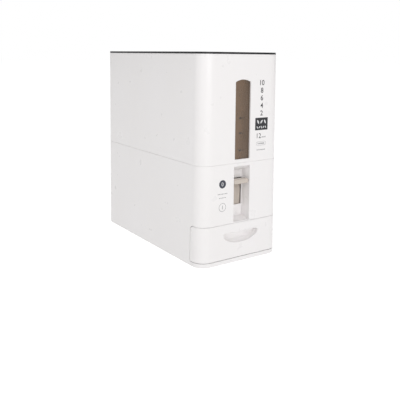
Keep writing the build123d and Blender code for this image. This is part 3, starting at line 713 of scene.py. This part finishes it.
def skin(work: bmesh.types.BMesh, rings: Rings, closed: bool = True, looped: bool = False) -> None:
    """Join each ring of points to the next one with faces.

    Args:
        work: The bmesh.
        rings: The rings, which have equal numbers of points.
        closed: Whether each ring runs back to its own start.
        looped: Whether the last ring is joined to the first one too.
    """
    count = len(rings[0])
    for ring, after in zip(rings, rings[1:] + (rings[:1] if looped else [])):
        for i in range(count if closed else count - 1):
            j = (i + 1) % count
            work.faces.new((ring[i], ring[j], after[j], after[i]))


def slab(outline: list[Point], hole: list[Point] | None = None, base: float = 0.0,
         top: float = FACE.ink_depth) -> Mesh:
    """Make a slab from an outline in the XY plane, as thick as the ink if no height is given.

    Args:
        outline: The points in order.
        hole: The points of a hole, as many as the outline has, or none.
        base: The height of its underside.
        top: The height of its upper side.

    Returns:
        The mesh.
    """
    work = bmesh.new()
    paths = [(outline, base), (outline, top)] + ([(hole, top), (hole, base)] if hole else [])
    rings = [[work.verts.new((x, y, z)) for x, y in path] for path, z in paths]
    skin(work, rings, looped=bool(hole))
    if not hole:
        for ring in rings:
            work.faces.new(ring)
    return closed_mesh(work)


def oval(radius_x: float, radius_y: float, sides: int = 48, tilt: float = 0.0) -> list[Point]:
    """Give the points of a tilted ellipse.

    Args:
        radius_x: Half of its width.
        radius_y: Half of its height.
        sides: How many points.
        tilt: Its tilt in radians.

    Returns:
        The points in order.
    """
    points = []
    for i in range(sides):
        angle = 2 * pi * i / sides
        x, y = radius_x * cos(angle), radius_y * sin(angle)
        points.append((x * cos(tilt) - y * sin(tilt), x * sin(tilt) + y * cos(tilt)))
    return points


def rounded_box(half_x: float, half_y: float, radius: float, per_corner: int) -> list[Point]:
    """Give the points of a rectangle with round corners.

    Args:
        half_x: Half of its width.
        half_y: Half of its height.
        radius: The corners' radius.
        per_corner: How many points each corner has.

    Returns:
        The points in order.
    """
    points = []
    for quarter, (sx, sy) in enumerate(((1, 1), (-1, 1), (-1, -1), (1, -1))):
        for step in range(per_corner):
            angle = pi / 2 * (quarter + step / (per_corner - 1))
            points.append((sx * (half_x - radius) + radius * cos(angle),
                           sy * (half_y - radius) + radius * sin(angle)))
    return points


# ---- geometry nodes ----
class GeometryTree(NodeSheet):
    """A Geometry Nodes tree with named inputs, applied to one carrier and turned into a mesh."""

    KINDS = {float: "NodeSocketFloat", int: "NodeSocketInt", Vector: "NodeSocketVector",
             bpy.types.Object: "NodeSocketObject", bpy.types.Material: "NodeSocketMaterial"}

    def __init__(self, name: str, inputs: dict[str, object]) -> None:
        """Make the tree and its named inputs.

        Args:
            name: The tree's name.
            inputs: The value of each named input.
        """
        super().__init__(bpy.data.node_groups.new(name, "GeometryNodeTree"))
        face = self.tree.interface
        for way in ("INPUT", "OUTPUT"):
            face.new_socket("Geometry", in_out=way, socket_type="NodeSocketGeometry")
        self.values: dict[str, object] = {}
        for label, value in inputs.items():
            kind = next(k for t, k in self.KINDS.items() if isinstance(value, t))
            socket = face.new_socket(label, in_out="INPUT", socket_type=kind)
            self.values[socket.identifier] = value
        self.given = self.add("NodeGroupInput").outputs

    def close(self, geometry: Socket) -> None:
        """End the tree in Realize Instances and Set Material.

        Args:
            geometry: The socket that holds the geometry.
        """
        real = self.add("GeometryNodeRealizeInstances", {"Geometry": geometry})
        coated = self.add("GeometryNodeSetMaterial", {"Geometry": real.outputs[0],
                                                      "Material": self.given["Material"]})
        self.add("NodeGroupOutput", {"Geometry": coated.outputs[0]})

    def bake(self, start: Mesh | None = None) -> Mesh:
        """Evaluate the tree on a carrier and keep the result as a plain mesh.

        Args:
            start: The mesh that the tree starts from, or none. It is dropped afterwards.

        Returns:
            The mesh.
        """
        name = self.tree.name
        start = start or bpy.data.meshes.new(name + " start")
        carrier = hang(name + " carrier", start)
        modifier = carrier.modifiers.new(name, "NODES")
        modifier.node_group = self.tree
        for identifier, value in self.values.items():
            modifier[identifier] = value
        mesh = settle(carrier)
        bpy.data.meshes.remove(start)
        return mesh


def bar_row(finish: str, count: int, step: Point, size: Point) -> Mesh:
    """Draw a row of equal bars about the origin, as thick as the ink, with Geometry Nodes.

    Args:
        finish: The finish's name.
        count: How many bars there are.
        step: From one bar to the next, across and up.
        size: The width and height of a bar.

    Returns:
        The mesh.
    """
    half = (count - 1) / 2
    tree = GeometryTree("bar row", {
        "Count": count, "Start": Vector((-step[0] * half, -step[1] * half, FACE.ink_depth / 2)),
        "Step": Vector((*step, 0.0)), "Size": Vector((*size, FACE.ink_depth)),
        "Material": RACK.get(finish)})
    line = tree.add("GeometryNodeMeshLine", {"Count": tree.given["Count"],
                                             "Start Location": tree.given["Start"],
                                             "Offset": tree.given["Step"]})
    bar = tree.add("GeometryNodeMeshCube", {"Size": tree.given["Size"]})
    placed = tree.add("GeometryNodeInstanceOnPoints", {"Points": line.outputs[0],
                                                       "Instance": bar.outputs[0]})
    tree.close(placed.outputs[0])
    return tree.bake()


def copies_on_points(name: str, finish: str, pattern: Mesh, points: list[Vector],
                     turn: Triple = (0.0, 0.0, 0.0)) -> Mesh:
    """Set copies of one mesh on points with Geometry Nodes.

    Args:
        name: The tree's name.
        finish: The finish's name.
        pattern: The mesh to copy, about its own origin. It is dropped afterwards.
        points: Where the copies go.
        turn: How each copy is turned, as Euler angles.

    Returns:
        The mesh.
    """
    source = hang(name + " pattern", pattern)
    tree = GeometryTree(name, {"Pattern": source, "Turn": Vector(turn),
                               "Material": RACK.get(finish)})
    copied = tree.add("GeometryNodeObjectInfo", {"Object": tree.given["Pattern"]})
    turned = tree.add("FunctionNodeEulerToRotation", {0: tree.given["Turn"]})
    placed = tree.add("GeometryNodeInstanceOnPoints", {
        "Points": tree.given["Geometry"], "Instance": copied.outputs["Geometry"],
        "Rotation": turned.outputs[0]})
    tree.close(placed.outputs[0])
    cloud = bpy.data.meshes.new(name + " points")
    cloud.from_pydata(points, [], [])
    mesh = tree.bake(cloud)
    bpy.data.objects.remove(source)
    bpy.data.meshes.remove(pattern)
    return mesh


# ---- screws ----
@dataclass
class PanScrew:
    """A self-tapping pan-head screw, its head up, with a cross in the head's hollow.

    The crown, the rim and the cross are shares of the head's radius and height.
    """

    length: float
    head_radius: float = 3.0 * MM
    head_height: float = 1.6 * MM
    shank_radius: float = 1.5 * MM
    pitch: float = 1.2 * MM
    thread_depth: float = 0.25 * MM
    tip_radius: float = 0.75 * MM
    tip_height: float = 0.3 * MM
    crown: tuple[Point, ...] = ((0.0, 0.62), (0.3, 0.62), (0.34, 1.0), (0.62, 0.98))
    rim: float = 0.1
    arm_halves: Point = (0.55, 0.16)
    arm_heights: Point = (0.5, 1.02)

    def mesh(self) -> Mesh:
        """Build the screw about the underside of its head.

        Returns:
            The mesh.
        """
        profile = [(self.head_radius * out, self.head_height * up) for out, up in self.crown]
        flat, top = self.crown[-1]
        for step in range(1, 5):  # the head's edge curves from the crown down to the rim
            angle = step * pi / 10
            profile.append((
                self.head_radius * (flat + (1.0 - flat) * sin(angle) / sin(0.4 * pi)),
                self.head_height * (self.rim + (top - self.rim) * cos(angle * 1.2))))
        profile += [(self.head_radius, 0.0), (self.shank_radius, 0.0)]
        root, depth = self.shank_radius - self.thread_depth, self.pitch / 2
        while depth < self.length - self.shank_radius:
            profile += [(root, -depth), (self.shank_radius, -depth - self.pitch / 4),
                        (root, -depth - self.pitch / 2)]
            depth += self.pitch
        profile += [(self.tip_radius, self.tip_height - self.length), (0.0, -self.length)]
        return joined([lathe(profile, sides=20, smooth=30.0), self.cross()])

    def cross(self) -> Mesh:
        """Build the raised cross in the head's hollow.

        Returns:
            The mesh.
        """
        arm, width = (self.head_radius * share for share in self.arm_halves)
        low, high = (self.head_height * share for share in self.arm_heights)
        outline = []
        for quarter in range(4):
            turn = Matrix.Rotation(quarter * pi / 2, 2)
            outline += [turn @ Vector(p) for p in ((arm, -width), (arm, width), (width, width))]
        return slab(outline, base=low, top=high)


def node_centres(node: str) -> list[Vector]:
    """Find the middle of each separate solid of a CAD node.

    Args:
        node: The node's name.

    Returns:
        The middles of the solids' boxes.
    """
    work = bmesh.new()
    work.from_mesh(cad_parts[node].data)
    bmesh.ops.remove_doubles(work, verts=work.verts, dist=1e-6)
    left, centres = set(work.verts), []
    while left:
        island, fresh = set(), [left.pop()]
        while fresh:
            vert = fresh.pop()
            island.add(vert)
            near = {edge.other_vert(vert) for edge in vert.link_edges} & left
            left -= near
            fresh += near
        low, high = (Vector([pick(v.co[i] for v in island) for i in range(3)])
                     for pick in (min, max))
        centres.append((low + high) / 2)
    work.free()
    return sorted(centres, key=tuple)


class HeadSide(Enum):
    """Which way a screw's head faces, as Euler angles for a screw drawn head up."""

    UP = (0.0, 0.0, 0.0)
    DOWN = (pi, 0.0, 0.0)
    BACK = (-pi / 2, 0.0, 0.0)


def screw_set(node: str, side: HeadSide, body: Body) -> None:
    """Replace a node of plain screws with detailed ones in the same places.

    Args:
        node: The CAD node.
        side: Which way the heads face.
        body: The body that the screws ride on.
    """
    low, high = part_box(node)
    along = 1 if side is HeadSide.BACK else 2
    head = PanScrew.head_height
    screw = PanScrew(high[along] - low[along] - head)
    seats = node_centres(node)
    for seat in seats:
        seat[along] = low[along] + head if side is HeadSide.DOWN else high[along] - head
    mesh = copies_on_points(node + " set", "steel", screw.mesh(), seats, side.value)
    add_piece(node + "_detailed", mesh, "steel", body, (node,))


# ---- printed marks ----
def digits(text: str, height: float, bold: float = 0.0) -> Mesh:
    """Draw plain digits as thick as the ink, centred on the origin.

    Args:
        text: The digits.
        height: The height of a digit.
        bold: How much wider each stroke is on either side.

    Returns:
        The mesh.
    """
    curve = bpy.data.curves.new("digits " + text, "FONT")
    curve.body = text
    curve.align_x, curve.align_y = "CENTER", "CENTER"
    curve.size = height / DIGIT_SHARE
    curve.extrude = FACE.ink_depth / 2
    curve.offset = bold
    curve.resolution_u = 4
    mesh = settle(hang(curve.name, curve))
    bpy.data.curves.remove(curve)
    work = bmesh.new()
    work.from_mesh(mesh)
    bpy.data.meshes.remove(mesh)
    xs, ys = [v.co.x for v in work.verts], [v.co.y for v in work.verts]
    shift = Vector(((min(xs) + max(xs)) / 2, (min(ys) + max(ys)) / 2, -FACE.ink_depth / 2))
    bmesh.ops.translate(work, verts=work.verts, vec=-shift)
    bmesh.ops.remove_doubles(work, verts=work.verts, dist=1e-6)
    return closed_mesh(work)


def print_piece(name: str, ink: str, body: Body, drawings: list[Drawing],
                raised: float = 0.0) -> None:
    """Press drawings on the front as one printed piece.

    Args:
        name: The piece's name.
        ink: The ink's name.
        body: The body that it rides on.
        drawings: The drawings and their places.
        raised: How far in front of ink on the bare face they lie.
    """
    add_piece(name, joined([FACE.press_on(*drawing, raised) for drawing in drawings]), ink, body)


@dataclass(frozen=True)
class DashRow:
    """A row of equal printed dashes."""

    count: int
    step: float
    dash: Point

    def draw(self, x: float, z: float) -> Drawing:
        """Draw the row about a place on the front."""
        return bar_row("grey ink", self.count, (self.step, 0.0), self.dash), x, z


@dataclass
class LeverMarks:
    """The marks beside the lever: a dark disc for up, a ring for down, and dashes between."""

    x: float = -52.2 * MM
    disc_z: float = 182.5 * MM
    ring_z: float = 131.5 * MM
    radius: float = 9.0 * MM
    ring_width: float = 0.75 * MM
    digit_height: float = 8.5 * MM
    upper_row: DashRow = DashRow(7, 3.85 * MM, (2.2 * MM, 1.5 * MM))
    upper_row_z: float = 161.2 * MM
    lower_row: DashRow = DashRow(5, 3.85 * MM, (2.2 * MM, 1.5 * MM))
    lower_row_z: float = 152.6 * MM

    def build(self) -> None:
        """Print the disc, the ring, their digits and the dashes."""
        disc = slab(oval(self.radius, self.radius))
        print_piece("mark_disc", "slate ink", Body.BASE, [(disc, self.x, self.disc_z)])
        number = digits("0", self.digit_height)
        print_piece("mark_disc_digit", "pale ink", Body.BASE, [(number, self.x, self.disc_z)],
                    FACE.second_ink)
        outer, inner = self.radius + self.ring_width / 2, self.radius - self.ring_width / 2
        ring = slab(oval(outer, outer), oval(inner, inner))
        number = digits("1", self.digit_height)
        print_piece("mark_ring", "grey ink", Body.BASE,
                    [(mesh, self.x, self.ring_z) for mesh in (ring, number)])
        print_piece("mark_dashes", "grey ink", Body.BASE,
                    [self.upper_row.draw(self.x, self.upper_row_z),
                     self.lower_row.draw(self.x, self.lower_row_z)])


@dataclass
class TankMarks:
    """The marks beside the window: a column of numbers, a dark badge of grains, and small rows."""

    column_x: float = 51.5 * MM
    column_top: float = 392.7 * MM
    column_step: float = 16.1 * MM
    column_numbers: tuple[str, ...] = ("10", "8", "6", "4", "2")
    column_height: float = 10.5 * MM
    column_bold: float = 0.15 * MM
    badge_x: float = 52.0 * MM
    badge_z: float = 304.8 * MM
    badge_half: Point = (17.7 * MM, 13.4 * MM)
    badge_corner: float = 0.8 * MM
    grain_rows: tuple[tuple[int, float, float], ...] = ((3, 4.6 * MM, 4.6 * MM),
                                                        (5, -7.2 * MM, 2.9 * MM))
    grain_span: float = 0.82
    grain_waist: float = 0.42
    grain_tilts: Point = (118.0, 52.0)
    capacity: str = "12"
    capacity_x: float = 45.6 * MM
    capacity_z: float = 279.2 * MM
    capacity_height: float = 10.6 * MM
    pill_z: float = 262.0 * MM
    pill_half: Point = (13.5 * MM, 4.2 * MM)
    pill_line: float = 0.4 * MM
    capacity_row: DashRow = DashRow(4, 3.0 * MM, (1.65 * MM, 2.6 * MM))
    capacity_row_right: float = 13.5 * MM
    capacity_row_down: float = 3.2 * MM
    pill_row: DashRow = DashRow(6, 3.3 * MM, (1.815 * MM, 3.0 * MM))
    lowest_row: DashRow = DashRow(9, 2.8 * MM, (1.54 * MM, 2.2 * MM))
    lowest_row_z: float = 248.2 * MM

    def build(self) -> None:
        """Print every mark on the tank's front."""
        column = [(digits(number, self.column_height, self.column_bold), self.column_x,
                   self.column_top - i * self.column_step)
                  for i, number in enumerate(self.column_numbers)]
        print_piece("column_numbers", "dark ink", Body.TANK, column)
        badge = slab(rounded_box(*self.badge_half, self.badge_corner, per_corner=4))
        print_piece("badge_plate", "dark ink", Body.TANK, [(badge, self.badge_x, self.badge_z)])
        print_piece("badge_grains", "pale ink", Body.TANK, self.grains(), FACE.second_ink)
        number = digits(self.capacity, self.capacity_height)
        print_piece("capacity_number", "dark ink", Body.TANK,
                    [(number, self.capacity_x, self.capacity_z)])
        print_piece("small_rows", "grey ink", Body.TANK, [
            self.pill(),
            self.capacity_row.draw(self.capacity_x + self.capacity_row_right,
                                   self.capacity_z - self.capacity_row_down),
            self.pill_row.draw(self.badge_x, self.pill_z),
            self.lowest_row.draw(self.badge_x, self.lowest_row_z),
        ])

    def grains(self) -> list[Drawing]:
        """Draw two rows of rice grains for the badge.

        Returns:
            The grains and their places.
        """
        drawn = []
        for count, up, size in self.grain_rows:
            for i in range(count):
                across = 2 * self.badge_half[0] * self.grain_span * ((i + 0.5) / count - 0.5)
                grain = oval(size, size * self.grain_waist, sides=20,
                             tilt=radians(self.grain_tilts[i % 2]))
                drawn.append((slab(grain), self.badge_x + across, self.badge_z + up))
        return drawn

    def pill(self) -> Drawing:
        """Draw the thin outline round the middle row of dashes.

        Returns:
            The pill and its place.
        """
        half_x, half_y = self.pill_half
        outer, inner = (rounded_box(half_x - line, half_y - line, half_y - line, per_corner=10)
                        for line in (0.0, self.pill_line))
        return slab(outer, inner), self.badge_x, self.pill_z


@dataclass
class PaneMarks:
    """The level marks on the window pane: two bars and a small number at each level."""

    pane_depth: float = 3.6 * MM
    lift: float = 0.04 * MM
    levels: tuple[tuple[float, str], ...] = ((319.5 * MM, "9"), (287.6 * MM, "6"),
                                             (250.9 * MM, "3"))
    aside: float = 4.0 * MM
    digit_height: float = 4.4 * MM
    bar: Point = (7.0 * MM, 1.3 * MM)
    bar_step: float = 1.8 * MM

    def build(self) -> None:
        """Print the marks just proud of the pane."""
        drawings = []
        for z, number in self.levels:
            bars = bar_row("dark ink", 2, (0.0, self.bar_step), self.bar)
            drawings += [(digits(number, self.digit_height), self.aside, z),
                         (bars, -self.aside, z)]
        print_piece("level_marks", "dark ink", Body.TANK, drawings,
                    self.lift - FACE.ink_proud - self.pane_depth)


# ---- sub-assemblies ----
@dataclass
class BaseUnit:
    """The lower housing, its base plate, feet and deck, and the measuring gear that stays put."""

    feet: tuple[str, ...] = ("foot_front_left", "foot_front_right", "foot_rear_left",
                             "foot_rear_right")
    foot_radius: float = 10.0 * MM
    foot_height: float = 2.8 * MM
    foot_dish: float = 0.45 * MM
    foot_groove: float = 0.35 * MM
    foot_bevel: float = 0.6 * MM
    spring_turns: float = 3.5
    spring_wire: float = 1.0 * MM
    lip_low: float = 91.15 * MM
    lip_height: float = 1.05 * MM
    lip_setback: float = 0.5 * MM
    lip_width: float = 1.8 * MM
    lip_rear: float = -198.0 * MM
    marks: LeverMarks = field(default_factory=LeverMarks)

    def build(self) -> None:
        """Make the feet, the screws, the spring, the lip and the marks, and dress the nodes."""
        self.build_feet()
        screw_set("base_screws", HeadSide.DOWN, Body.BASE)
        screw_set("bracket_screws", HeadSide.UP, Body.BASE)
        self.build_spring()
        self.build_drawer_lip()
        self.marks.build()
        dress({
            "shell white": ("lower_housing",),
            "inner white": ("base_plate", "bay_deck", "measuring_casing", "shaft_bracket_left",
                            "shaft_bracket_right"),
            "bush plastic": ("shaft_bush_left", "shaft_bush_right"),
            "steel": ("base_screws", "bracket_screws", "return_spring"),
            "foot rubber": self.feet,
        })

    def build_feet(self) -> None:
        """Make the four rubber feet, each with a dished underside and a groove round the dish."""
        top, groove = self.foot_height, self.foot_groove
        shares = ((0.0, self.foot_dish), (0.55, groove), (0.68, 0.0), (0.74, groove),
                  (0.8, groove), (0.85, 0.0), (0.94, 0.0), (1.0, self.foot_bevel),
                  (1.0, top / 2), (0.97, top), (0.0, top))
        foot = lathe([(self.foot_radius * share, up) for share, up in shares], sides=40)
        middles = []
        for node in self.feet:
            low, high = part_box(node)
            middles.append(Vector(((low.x + high.x) / 2, (low.y + high.y) / 2, 0.0)))
        mesh = copies_on_points("rubber feet", "foot rubber", foot, middles)
        add_piece("rubber_feet", mesh, "foot rubber", Body.BASE, self.feet)

    def build_spring(self) -> None:
        """Wind the return spring inside the sleeve that stands for it."""
        low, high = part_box("return_spring")
        middle = (low + high) / 2
        tree = GeometryTree("return spring", {
            "Turns": self.spring_turns, "Radius": (high.z - low.z) / 2 - self.spring_wire,
            "Height": high.x - low.x - 2 * self.spring_wire, "Wire": self.spring_wire,
            "Turn": Vector((0.0, pi / 2, 0.0)),
            "Start": Vector((low.x + self.spring_wire, middle.y, middle.z)),
            "Material": RACK.get("steel")})
        helix = tree.add("GeometryNodeCurveSpiral", {
            "Resolution": 28, "Rotations": tree.given["Turns"], "Height": tree.given["Height"],
            "Start Radius": tree.given["Radius"], "End Radius": tree.given["Radius"]})
        wire = tree.add("GeometryNodeCurvePrimitiveCircle", {"Resolution": 12,
                                                             "Radius": tree.given["Wire"]})
        coil = tree.add("GeometryNodeCurveToMesh", {"Curve": helix.outputs[0],
                                                    "Profile Curve": wire.outputs[0],
                                                    "Fill Caps": True})
        placed = tree.add("GeometryNodeTransform", {"Geometry": coil.outputs[0],
                                                    "Translation": tree.given["Start"],
                                                    "Rotation": tree.given["Turn"]})
        tree.close(placed.outputs[0])
        add_piece("return_spring_coil", tree.bake(), "steel", Body.BASE,
                  ("return_spring",))

    def build_drawer_lip(self) -> None:
        """Run a thin lip under the housing's edge, set back behind the line over the drawer."""
        work = bmesh.new()
        rings = []
        for back, up in ((0, 0), (1, 0), (1, 1), (0, 1)):
            z = self.lip_low + up * self.lip_height
            inset = FACE.inset(z) + self.lip_setback + back * self.lip_width
            rings.append([work.verts.new((x, y, z)) for x, y in FACE.path(inset, self.lip_rear)])
        skin(work, rings, closed=False, looped=True)
        for end in (0, -1):
            work.faces.new([ring[end] for ring in rings])
        add_piece("drawer_line_lip", closed_mesh(work, smooth=50.0), "shell white", Body.BASE)


@dataclass
class LeverUnit:
    """The knob and yoke, and the rotor and shaft that turn with them."""

    def build(self) -> None:
        """Dress the lever's nodes."""
        dress({
            "lever greige": ("lever_knob", "lever_yoke"),
            "inner white": ("measuring_rotor", "rotor_end_cap"),
            "steel": ("rotor_shaft",),
        })


@dataclass
class DrawerUnit:
    """The drawer's front, box and screws."""

    def build(self) -> None:
        """Make the screws and dress the drawer's nodes."""
        screw_set("drawer_screws", HeadSide.BACK, Body.DRAWER)
        dress({"shell white": ("drawer_front", "drawer_box"), "steel": ("drawer_screws",)})


@dataclass
class TankUnit:
    """The tank's shell, window, hopper and hinge pins, with the printed marks."""

    marks: TankMarks = field(default_factory=TankMarks)
    levels: PaneMarks = field(default_factory=PaneMarks)

    def build(self) -> None:
        """Print the marks and dress the tank's nodes."""
        self.marks.build()
        self.levels.build()
        dress({
            "shell white": ("upper_housing",),
            "inner white": ("hopper",),
            "smoked pane": ("window_pane",),
            "steel": ("hinge_pin_left", "hinge_pin_right"),
        })


@dataclass
class LidUnit:
    """The lid's frame, dark panel and soft seal, whose profile is in shares of its band."""

    seal_band: float = 2.4 * MM
    seal_corner: float = 23.0 * MM
    seal_profile: tuple[Point, ...] = ((0.0, 0.0), (0.55, 0.0), (1.0, 0.3), (0.6, 0.42),
                                       (0.6, 0.58), (1.0, 0.75), (0.55, 1.0), (0.0, 1.0))

    def build(self) -> None:
        """Make the seal and dress the lid's nodes."""
        self.build_seal()
        dress({
            "shell white": ("lid_frame",),
            "lid panel": ("lid_panel",),
            "soft seal": ("lid_gasket",),
        })

    def build_seal(self) -> None:
        """Run a lipped profile round the lid's skirt."""
        low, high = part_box("lid_gasket")
        middle, half = (low + high) / 2, (high - low) / 2
        work = bmesh.new()
        rings = []
        for out, up in self.seal_profile:
            shrink, z = self.seal_band * (1.0 - out), low.z + 2 * half.z * up
            path = rounded_box(half.x - shrink, half.y - shrink, self.seal_corner - shrink,
                               per_corner=12)
            rings.append([work.verts.new((middle.x + x, middle.y + y, z)) for x, y in path])
        skin(work, rings, looped=True)
        add_piece("lid_seal_lipped", closed_mesh(work, smooth=50.0), "soft seal", Body.LID,
                  ("lid_gasket",))


# ---- studio ----
@dataclass
class SoftBox:
    """One large soft lamp that faces a target."""

    name: str
    place: Triple
    size: Point
    power: float
    target: Triple = (0.0, 0.0, 0.22)

    def build(self) -> None:
        """Hang the lamp."""
        lamp = bpy.data.lights.new(self.name, "AREA")
        lamp.shape = "RECTANGLE"
        lamp.size, lamp.size_y = self.size
        lamp.energy = self.power
        holder = hang(self.name, lamp)
        holder.location = self.place
        aim = Vector(self.target) - Vector(self.place)
        holder.rotation_euler = aim.to_track_quat("-Z", "Y").to_euler()


@dataclass
class Studio:
    """The pale floor, the soft light and the camera."""

    image_width: int = 400
    sensor: float = 36.0
    focal_pixels: float = 553.933
    camera_place: Triple = (-0.74601, -1.141559, 0.448878)
    azimuth: float = 0.605878
    pitch: float = 0.256441
    roll: float = 0.011302
    fill_strength: float = 0.42
    backdrop_strength: float = 1.0
    floor_half: float = 30.0
    floor_tone: float = 0.36
    floor_glow: float = 0.85
    lamps: tuple[SoftBox, ...] = (
        SoftBox("key", (-0.4, -2.0, 1.0), (1.4, 1.4), 13.0),
        SoftBox("side", (-1.3, -0.9, 0.9), (0.8, 0.8), 3.0),
        SoftBox("top", (0.0, 0.0, 2.4), (3.0, 3.0), 22.0),
    )

    def build(self) -> None:
        """Set up the floor, the light and the camera."""
        self.build_floor()
        self.build_world()
        for lamp in self.lamps:
            lamp.build()
        self.build_camera()
        bpy.context.scene.view_settings.view_transform = "Standard"

    def build_floor(self) -> None:
        """Lay a plain pale floor that glows a little."""
        work = bmesh.new()
        bmesh.ops.create_grid(work, x_segments=2, y_segments=2, size=self.floor_half)
        mesh = closed_mesh(work)
        if mesh.polygons[0].normal.z < 0:
            mesh.flip_normals()
        mesh.materials.append(ShaderSheet("floor").close({
            "Base Color": (self.floor_tone, self.floor_tone, self.floor_tone, 1.0),
            "Roughness": 0.9,
            "Specular IOR Level": 0.1,
            "Emission Color": (1.0, 1.0, 1.0, 1.0),
            "Emission Strength": self.floor_glow,
        }))
        hang("floor", mesh)

    def build_world(self) -> None:
        """Light the scene evenly from all round, in front of a white backdrop."""
        world = bpy.data.worlds.new("studio")
        bpy.context.scene.world = world
        world.use_nodes = True
        sheet = NodeSheet(world.node_tree)
        fill, backdrop = (sheet.add("ShaderNodeBackground", {"Color": (1.0, 1.0, 1.0, 1.0),
                                                             "Strength": strength})
                          for strength in (self.fill_strength, self.backdrop_strength))
        path = sheet.add("ShaderNodeLightPath")
        both = sheet.add("ShaderNodeMixShader", {0: path.outputs["Is Camera Ray"],
                                                 1: fill.outputs[0], 2: backdrop.outputs[0]})
        sheet.add("ShaderNodeOutputWorld", {"Surface": both.outputs[0]})

    def build_camera(self) -> None:
        """Set the camera at the photograph's viewing angle."""
        cos_p, sin_p = cos(self.pitch), sin(self.pitch)
        forward = Vector((sin(self.azimuth) * cos_p, cos(self.azimuth) * cos_p, -sin_p))
        right = Vector((cos(self.azimuth), -sin(self.azimuth), 0.0))
        up = right.cross(forward)
        tilted_right = cos(self.roll) * right + sin(self.roll) * up
        tilted_up = cos(self.roll) * up - sin(self.roll) * right
        lens = bpy.data.cameras.new("camera")
        lens.sensor_width = self.sensor
        lens.lens = self.focal_pixels / self.image_width * self.sensor
        camera = hang("camera", lens)
        turn = Matrix((tilted_right, tilted_up, -forward)).transposed().to_4x4()
        camera.matrix_world = Matrix.Translation(self.camera_place) @ turn
        bpy.context.scene.camera = camera


def main() -> None:
    """Build every sub-assembly in order, then the studio."""
    logging.basicConfig(level=logging.INFO, format="%(name)s: %(message)s")
    for unit in (BaseUnit(), LeverUnit(), DrawerUnit(), TankUnit(), LidUnit(), Studio()):
        unit.build()
        LOG.info("%s done", type(unit).__name__)


if __name__ == "__main__":
    main()
